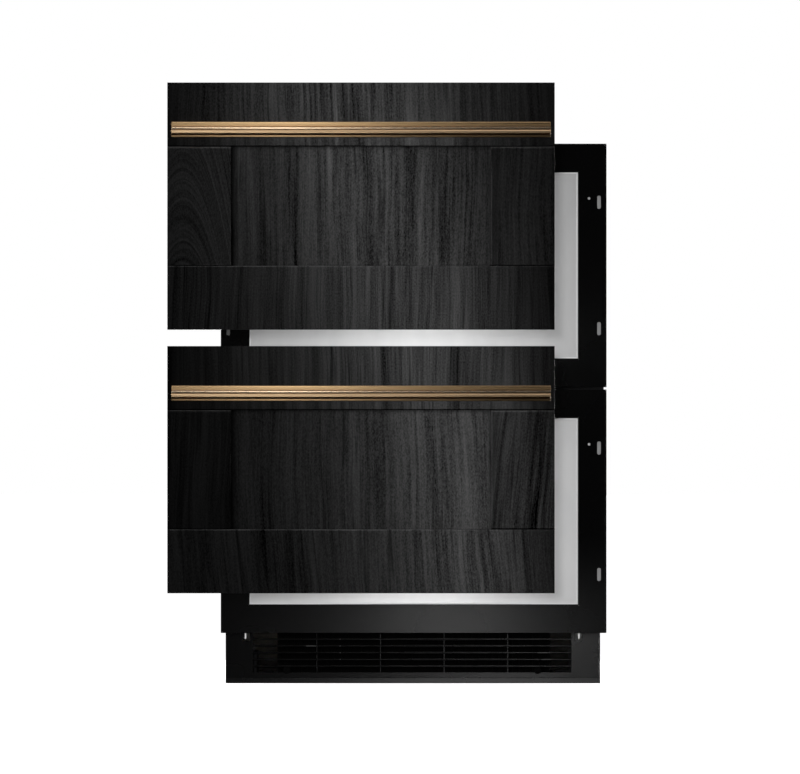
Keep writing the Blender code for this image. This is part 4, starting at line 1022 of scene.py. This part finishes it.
def make_back_details():
    """Stiffening beads pressed into the back sheet, and the ribbed gland of the inlet."""
    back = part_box("back_panel")[1]
    half_x, half_z = 0.110, 0.008
    bm = bmesh.new()
    for z in (0.330, 0.470, 0.610, 0.750):
        for x in (-0.130, 0.130):
            bead = mm((0.0, -0.4), (0.8, 0.6), (2.2, 1.2), (4.5, 1.5))
            add_stack(bm, [
                (pill(x, z, half_x - inset, half_z - inset, half_z - 0.0001 - inset, 6), back.y + rise)
                for inset, rise in bead
            ])
    piece("back_beads", bm, BACK_ZINC)

    low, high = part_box("cord_inlet")
    centre = ((low.x + high.x) / 2, 0.0, (low.z + high.z) / 2)
    collar = mm((9.0, 0.3), (13.0, 0.3), (13.0, 2.6), (12.2, 3.4), (8.0, 3.8))
    profile = [(0.0090, low.y)] + [(radius, back.y + out) for radius, out in collar]
    at = back.y + 0.0052
    while at < high.y - 0.003:
        profile += [(radius, at + step) for radius, step in mm((7.4, 0.0), (7.4, 1.2), (6.2, 1.6), (6.2, 2.6))]
        at += 0.0034
    profile += [(radius, high.y - step) for radius, step in mm((6.2, 0.6), (5.6, 0.0), (4.0, 0.0), (3.8, 4.0))]
    bm = bmesh.new()
    add_turned(bm, profile, centre)
    piece("strain_relief", bm, BLACK_PLASTIC, replaces="cord_inlet")


# Fans, compressor, controls and feet --------------------------------------------------------------
FAN_Z = 0.735


def add_rotor(bm, centre, axis, radius, depth, blades):
    """A hub with curved, tapering blades round its axis."""
    hub, half = radius * 0.28, depth / 2
    boss = [(hub * 0.7, -half), (hub * 0.95, -half + 0.0012), (hub, -half + 0.003), (hub, half)]
    add_turned(bm, boss, centre, axis, sides=28)
    root, tip = hub * 0.92, radius * 0.985
    for index in range(blades):
        base = 2 * math.pi * index / blades
        loops = []
        for share in spread(0.0, 1.0, 8):
            reach = root + (tip - root) * share
            chord = math.radians(46 - 10 * share) * (0.75 + 0.45 * share - 0.35 * share ** 4)
            pitch = half * (0.92 - 0.45 * share)
            sweep = base + math.radians(16) * share ** 1.5
            upper, lower = [], []
            for c in spread(-0.5, 0.5, 7):
                angle = sweep + c * chord
                rise = -2 * c * pitch + 0.0016 * (1 - 4 * c * c)
                thick = 0.0008 * (1 - 3.2 * c * c) + 0.00015
                for side, row in ((thick, upper), (-thick, lower)):
                    point = along(axis, reach * math.cos(angle), reach * math.sin(angle), rise + side)
                    row.append(Vector(centre) + point)
            loops.append(upper + lower[::-1])
        add_loops(bm, loops)


def make_fans():
    """Both fans, and the wire guard and the screws of the cold one's cover."""
    low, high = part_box("evaporator_fan")
    bm = bmesh.new()
    add_rotor(bm, (0.0, (low.y + high.y) / 2, FAN_Z), 1, 0.046, high.y - low.y, 7)
    piece("cold_fan_blades", bm, WHITE_PLASTIC, "evaporator_fan_rotor", replaces="evaporator_fan")
    low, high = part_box("condenser_fan")
    bm = bmesh.new()
    add_rotor(bm, ((low.x + high.x) / 2, 0.155, 0.086), 0, 0.056, high.x - low.x, 5)
    piece("hot_fan_blades", bm, BLACK_PLASTIC, "condenser_fan_rotor", replaces="condenser_fan")

    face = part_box("evaporator_cover")[0].y
    wire_y, wire = face - 0.0012, 0.0010
    bm = bmesh.new()
    for radius in (0.018, 0.034, 0.0495):
        ring = arc((0.0, FAN_Z), radius, 0, 350, 35)
        add_tube(bm, [(x, wire_y, z) for x, z in ring], wire, sides=8, closed=True)
    for index in range(8):
        angle = math.radians(45 * index + 10)
        spoke = [(r * math.cos(angle), wire_y, FAN_Z + r * math.sin(angle)) for r in (0.004, 0.020, 0.036, 0.0545)]
        add_tube(bm, spoke, wire, sides=8)
    add_turned(bm, mm((4.0, -3.0), (5.5, -2.2), (5.5, -0.4)), (0.0, face, FAN_Z), sides=20)
    piece("cold_fan_guard", bm, WHITE_PLASTIC)
    places = [(x, face, z) for x in (-0.235, 0.235) for z in (0.510, 0.650, 0.795)]
    screw_heads("cover_screws", places, 1, -1, 0.0040)


def make_evaporator_fins():
    low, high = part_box("evaporator")
    half, past_y, past_z = 0.00025, 0.006, 0.004
    bm = bmesh.new()
    for index in range(56):
        x = -0.176 + index * 0.0064
        add_block(bm, (x - half, low.y - past_y, low.z - past_z), (x + half, high.y + past_y, high.z + past_z))
    piece("evaporator_fins", bm, COIL_ALUMINIUM)


def make_compressor():
    """The hermetic pot with its weld seam, pipes and rubber feet."""
    low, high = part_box("compressor")
    centre = Vector(((low.x + high.x) / 2, (low.y + high.y) / 2, low.z))
    radius, top, crown = 0.0680, high.z - low.z, 0.045
    profile = [(radius * 0.45, 0.0220), (radius * 0.82, 0.0290), (radius * 0.95, 0.0370), (radius, 0.0480)]
    seam = mm((0.0, 81.5), (1.5, 83.0), (3.0, 84.5), (3.0, 89.5), (1.5, 91.0), (0.0, 92.0))
    profile += [(radius + out, at) for out, at in seam]
    for step in range(9, 0, -1):
        angle = math.pi / 2 * step / 10
        profile.append((radius * math.sin(angle), top - crown * (1 - math.cos(angle))))
    profile.append((0.004, top))
    bm = bmesh.new()
    add_turned(bm, profile, centre, axis=2, sides=48)
    add_prism(bm, pill(centre.x, centre.y, 0.080, 0.060, 0.012), low.z + 0.012, low.z + 0.016, axis=2)
    add_turned(bm, mm((30.0, 12.0), (30.0, 28.0)), centre, axis=2)
    piece("compressor_pot", bm, CABINET_COAT, replaces="compressor", bevel=0.0006)
    grommet = mm((9.0, 0.0), (9.5, 3.0), (8.0, 6.0), (8.0, 9.0), (9.2, 11.5), (6.0, 16.5), (3.0, 19.0))
    bm = bmesh.new()
    for dx in (-0.070, 0.070):
        for dy in (-0.050, 0.050):
            add_turned(bm, grommet, centre + Vector((dx, dy, 0.0)), axis=2, sides=24)
    piece("compressor_grommets", bm, RUBBER)
    bend = 0.018
    bm = bmesh.new()
    for offset, height in ((-0.018, 0.120), (0.018, 0.105)):
        start = centre + Vector((-0.040, offset, 0.060))
        points = [start]
        for a in range(0, 91, 15):
            turn = math.radians(a)
            points.append(start + Vector((-bend * math.sin(turn) - 0.012, 0.0, bend * (1 - math.cos(turn)))))
        points.append((points[-1].x, start.y, low.z + height))
        add_tube(bm, points, 0.0032, sides=12)
    piece("compressor_pipes", bm, COPPER)


def make_controls():
    """The display's dark glass and three lights beside it, and a plus and a minus bar on the buttons."""
    low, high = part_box("control_panel")
    middle = (low.z + high.z) / 2
    glass = mm((0.0, -0.2), (0.0, 0.4), (0.4, 0.7), (1.0, 0.8))
    bm = bmesh.new()
    add_stack(bm, [(pill(0.0, middle, 0.0185 - inset, 0.0060 - inset, 0.0018), low.y - rise) for inset, rise in glass])
    piece("display_glass", bm, DARK_GLASS)
    bm = bmesh.new()
    for x in (0.056, 0.063, 0.070):
        add_turned(bm, mm((0.9, -0.9), (1.2, -0.6), (1.2, 0.0)), (x, low.y, middle), sides=16)
    piece("control_lights", bm, LAMP)
    length, width, corner = 0.0020, 0.0003, 0.0002
    for node, body in (("button_cooler", "cooler_button"), ("button_warmer", "warmer_button")):
        low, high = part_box(node)
        centre = (low + high) / 2
        bm = bmesh.new()
        add_prism(bm, pill(centre.x, centre.z, length, width, corner, 2), low.y - 0.0001, low.y + 0.0004)
        if node == "button_warmer":
            add_prism(bm, pill(centre.x, centre.z, width, length, corner, 2), low.y - 0.00012, low.y + 0.0004)
        piece(f"{node}_mark", bm, LAMP, body)


def make_feet():
    """Each levelling foot: a pad, a hexagon to turn it by and a threaded stud."""
    pad = mm((16.0, 0.0), (17.6, 0.6), (18.0, 1.6), (18.0, 4.0), (17.2, 5.0), (14.0, 5.6), (10.0, 6.2))
    hexagon = mm((8.2, 6.0), (8.8, 6.6), (8.8, 10.4), (8.0, 11.0))
    outer, inner, pitch = 0.0040, 0.0034, 0.0012
    for hand in ("front_left", "front_right", "back_left", "back_right"):
        low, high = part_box(f"foot_{hand}")
        centre = ((low.x + high.x) / 2, (low.y + high.y) / 2, low.z)
        top = high.z - low.z
        thread = [(outer, 0.0108)]
        at = 0.0120
        while at < top - 0.0020:
            thread += [(outer, at), (inner, at + pitch / 2)]
            at += pitch
        thread += [(inner, top - 0.0008), (0.0028, top)]
        bm = bmesh.new()
        for profile, sides in ((pad, 40), (hexagon, 6), (thread, 20)):
            add_turned(bm, profile, centre, axis=2, sides=sides)
        piece(f"levelling_foot_{hand}", bm, BLACK_PLASTIC, f"foot_{hand}", replaces=f"foot_{hand}")


def make_runner_details(level):
    """The rivets and the ball rows of each telescopic runner."""
    for hand, side in SIDES:
        low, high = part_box(f"{level}_runner_middle_{hand}")
        x, middle = (low.x + high.x) / 2, (low.z + high.z) / 2
        bm = bmesh.new()
        for z in (low.z + 0.0030, high.z - 0.0030):
            for index in range(9):
                ball = Matrix.Translation((x, low.y + 0.030 + index * 0.016, z))
                bmesh.ops.create_uvsphere(bm, u_segments=12, v_segments=8, radius=0.0013, matrix=ball)
        piece(f"{level}_runner_balls_{hand}", bm, BRIGHT_STEEL, f"{level}_runner_middle")
        start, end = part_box(f"{level}_runner_drawer_{hand}")
        face = (start.x if side > 0 else end.x) + side * 0.0012
        places = [(face, start.y + share * (end.y - start.y), middle) for share in (0.12, 0.5, 0.88)]
        screw_heads(f"{level}_runner_rivets_{hand}", places, 0, side, 0.0032, f"{level}_drawer")


for level in LEVELS:
    for make in (make_front_frame, make_corner_plates, make_slot_nuts, make_window_bead, make_front_liner):
        make(level)
    for make in (make_gasket, make_bin_rim, make_runner_details):
        make(level)
    for member in EASED:
        make_board(level, member)
    make_tenons(level)
    make_handle(level)
for make in (make_compartments, make_mullion_ends, make_lamps, make_kick_plate, make_plinth_details, make_cabinet):
    make()
for make in (make_back_details, make_fans, make_evaporator_fins, make_compressor, make_controls, make_feet):
    make()


# Camera, lights and floor -------------------------------------------------------------------------
FRONT_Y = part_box("upper_front_frame")[0].y
CAMERA_DISTANCE = 40.0
VIEW_WIDTH = 1.25664  # of the picture, at the drawer fronts
CAMERA_X, CAMERA_Z = -0.0214, 0.4660


def set_camera():
    data = bpy.data.cameras.new("camera")
    data.sensor_width = 36.0
    data.lens = data.sensor_width * CAMERA_DISTANCE / VIEW_WIDTH
    data.clip_start, data.clip_end = 0.5, 400.0
    camera = new_object("camera", data)
    camera.location = (CAMERA_X, FRONT_Y - CAMERA_DISTANCE, CAMERA_Z)
    camera.rotation_euler = (math.radians(90), 0.0, 0.0)
    bpy.context.scene.camera = camera


def facing(direction):
    return Vector(direction).to_track_quat("-Z", "Y").to_euler()


def area_light(name, place, target, size, power, diffuse=True):
    data = bpy.data.lights.new(name, "AREA")
    data.shape = "RECTANGLE"
    data.size, data.size_y = size
    data.energy = power
    light = new_object(name, data)
    light.location = place
    light.rotation_euler = facing(Vector(target) - Vector(place))
    light.visible_camera = False
    light.visible_diffuse = diffuse
    return light


def sun_light(name, direction, strength, angle):
    """A far light that no surface mirrors."""
    data = bpy.data.lights.new(name, "SUN")
    data.energy = strength
    data.angle = math.radians(angle)
    light = new_object(name, data)
    light.rotation_euler = facing(direction)
    light.visible_camera = False
    light.visible_glossy = False
    return light


def light_group(light, role, pieces, exclude):
    """Makes the pieces the light's only receivers or blockers, or leaves just them out."""
    group = bpy.data.collections.new(f"{light.name}_{role}s")
    for obj in pieces:
        group.objects.link(obj)
    setattr(light.light_linking, f"{role}_collection", group)
    if exclude:
        for member in group.collection_objects:
            member.light_linking.link_state = "EXCLUDE"


def strip_light(name, bottom, top, width, power, receivers, through=()):
    """A long narrow light in front of the fridge, seen only as a reflection. It shines through some pieces."""
    bottom, top = Vector(bottom), Vector(top)
    middle = (bottom + top) / 2
    size = (width, (top - bottom).length)
    light = area_light(name, middle, middle + Vector((0.0, 1.0, 0.0)), size, power, diffuse=False)
    lean = math.atan2(bottom.x - top.x, top.z - bottom.z)
    light.rotation_euler = (Matrix.Rotation(-lean, 3, "Y") @ light.rotation_euler.to_matrix()).to_euler()
    light_group(light, "receiver", receivers, exclude=False)
    if through:
        light_group(light, "blocker", through, exclude=True)


def set_lights():
    """Soft boxes all round, and lights for one group of pieces each, since the picture's highlights disagree."""
    shown = [o for o in bpy.data.objects if o.type == "MESH" and not o.hide_render]

    def made_of(start):
        return [o for o in shown if o.data.materials and o.data.materials[0].name.startswith(start)]

    wood, brass = made_of("wood_"), made_of("brushed_brass")
    skins, rear = made_of(GREY_SKIN.name), made_of(BACK_ZINC.name)
    plinth = [o for o in shown if o.name.startswith(("plinth_", "grille_"))]
    fronts = [o for o in shown if "_frame_" in o.name and o.name.split("_")[0] in LEVELS]
    rest = [o for o in shown if o not in wood + brass + plinth + skins]
    key = sun_light("front_key", (0.030, 1.0, -0.026), 1.45, 2.4)
    top = area_light("top_box", (0.2, -0.6, 3.2), (0.0, -0.2, 0.4), (3.0, 3.0), 36.0)
    left = area_light("left_box", (-2.6, 0.1, 1.0), (0.0, 0.0, 0.5), (1.6, 2.0), 60.0)
    right = area_light("right_box", (2.8, 0.2, 1.1), (0.0, 0.0, 0.5), (1.6, 2.0), 40.0)
    back = area_light("back_box", (0.4, 3.0, 0.42), (0.0, 0.0, 0.42), (2.4, 0.8), 46.0)
    for light, unlit in ((top, fronts), (key, rear), (back, plinth), (left, wood), (right, wood + fronts)):
        light_group(light, "receiver", unlit, exclude=True)
    strip_light("wood_strip", (0.17, -1.75, 0.01), (-0.20, -1.75, 1.27), 0.13, 1.95, wood, brass)
    strip_light("front_strip", (0.06, -1.40, 0.00), (0.04, -1.40, 0.90), 0.10, 2.9, rest)
    strip_light("window_strip", (0.02, -1.40, 0.00), (0.00, -1.40, 0.90), 0.10, 2.1, skins, wood + brass)
    strip_light("brass_strip", (-0.21, -1.75, 0.05), (-0.21, -1.75, 1.25), 0.10, 1.5, brass)
    high = area_light("brass_high", (-0.45, -1.75, 1.45), (-0.38, -0.79, 0.70), (0.4, 0.4), 1.3, diffuse=False)
    light_group(high, "receiver", brass, exclude=False)
    strip_light("plinth_strip", (0.15, -1.60, -0.10), (0.15, -1.60, 0.25), 0.15, 1.5, plinth, wood + brass)
    lip = area_light("plinth_high", (0.13, -1.41, 1.13), (0.13, -0.27, 0.0), (0.3, 0.3), 1.8, diffuse=False)
    light_group(lip, "receiver", plinth, exclude=False)
    light_group(lip, "blocker", wood + brass, exclude=True)


def set_world():
    """White behind everything, but a dim studio for what it lights and what reflects in it."""
    world = bpy.data.worlds.new("studio")
    world.use_nodes = True
    bpy.context.scene.world = world
    tree = world.node_tree
    background = tree.nodes["Background"]
    background.inputs["Color"].default_value = (1.0, 1.0, 1.0, 1.0)
    path = tree.nodes.new("ShaderNodeLightPath")
    gloss = tree.nodes.new("ShaderNodeMapRange")
    gloss.inputs["To Min"].default_value = 0.30
    gloss.inputs["To Max"].default_value = 0.035
    tree.links.new(path.outputs["Is Glossy Ray"], gloss.inputs["Value"])
    seen = tree.nodes.new("ShaderNodeMix")
    seen.inputs[3].default_value = 1.0
    tree.links.new(path.outputs["Is Camera Ray"], seen.inputs[0])
    tree.links.new(gloss.outputs["Result"], seen.inputs[2])
    tree.links.new(seen.outputs[0], background.inputs["Strength"])


def lay_floor():
    bm = bmesh.new()
    bmesh.ops.create_grid(bm, x_segments=1, y_segments=1, size=70.0)
    floor = mesh_object("floor", bm)
    pale = Material("pale_floor", (0.93, 0.93, 0.93), 0.9, Specular_IOR_Level=0.1, Emission_Strength=0.80)
    pale.shader.inputs["Emission Color"].default_value = (1.0, 1.0, 1.0, 1.0)
    floor.data.materials.append(pale.material)
    floor.location.z = -0.0002
    floor.visible_glossy = False
    floor.visible_diffuse = False


set_camera()
set_lights()
set_world()
lay_floor()
bpy.context.scene.view_settings.view_transform = "Standard"
bpy.context.scene.view_settings.look = "None"
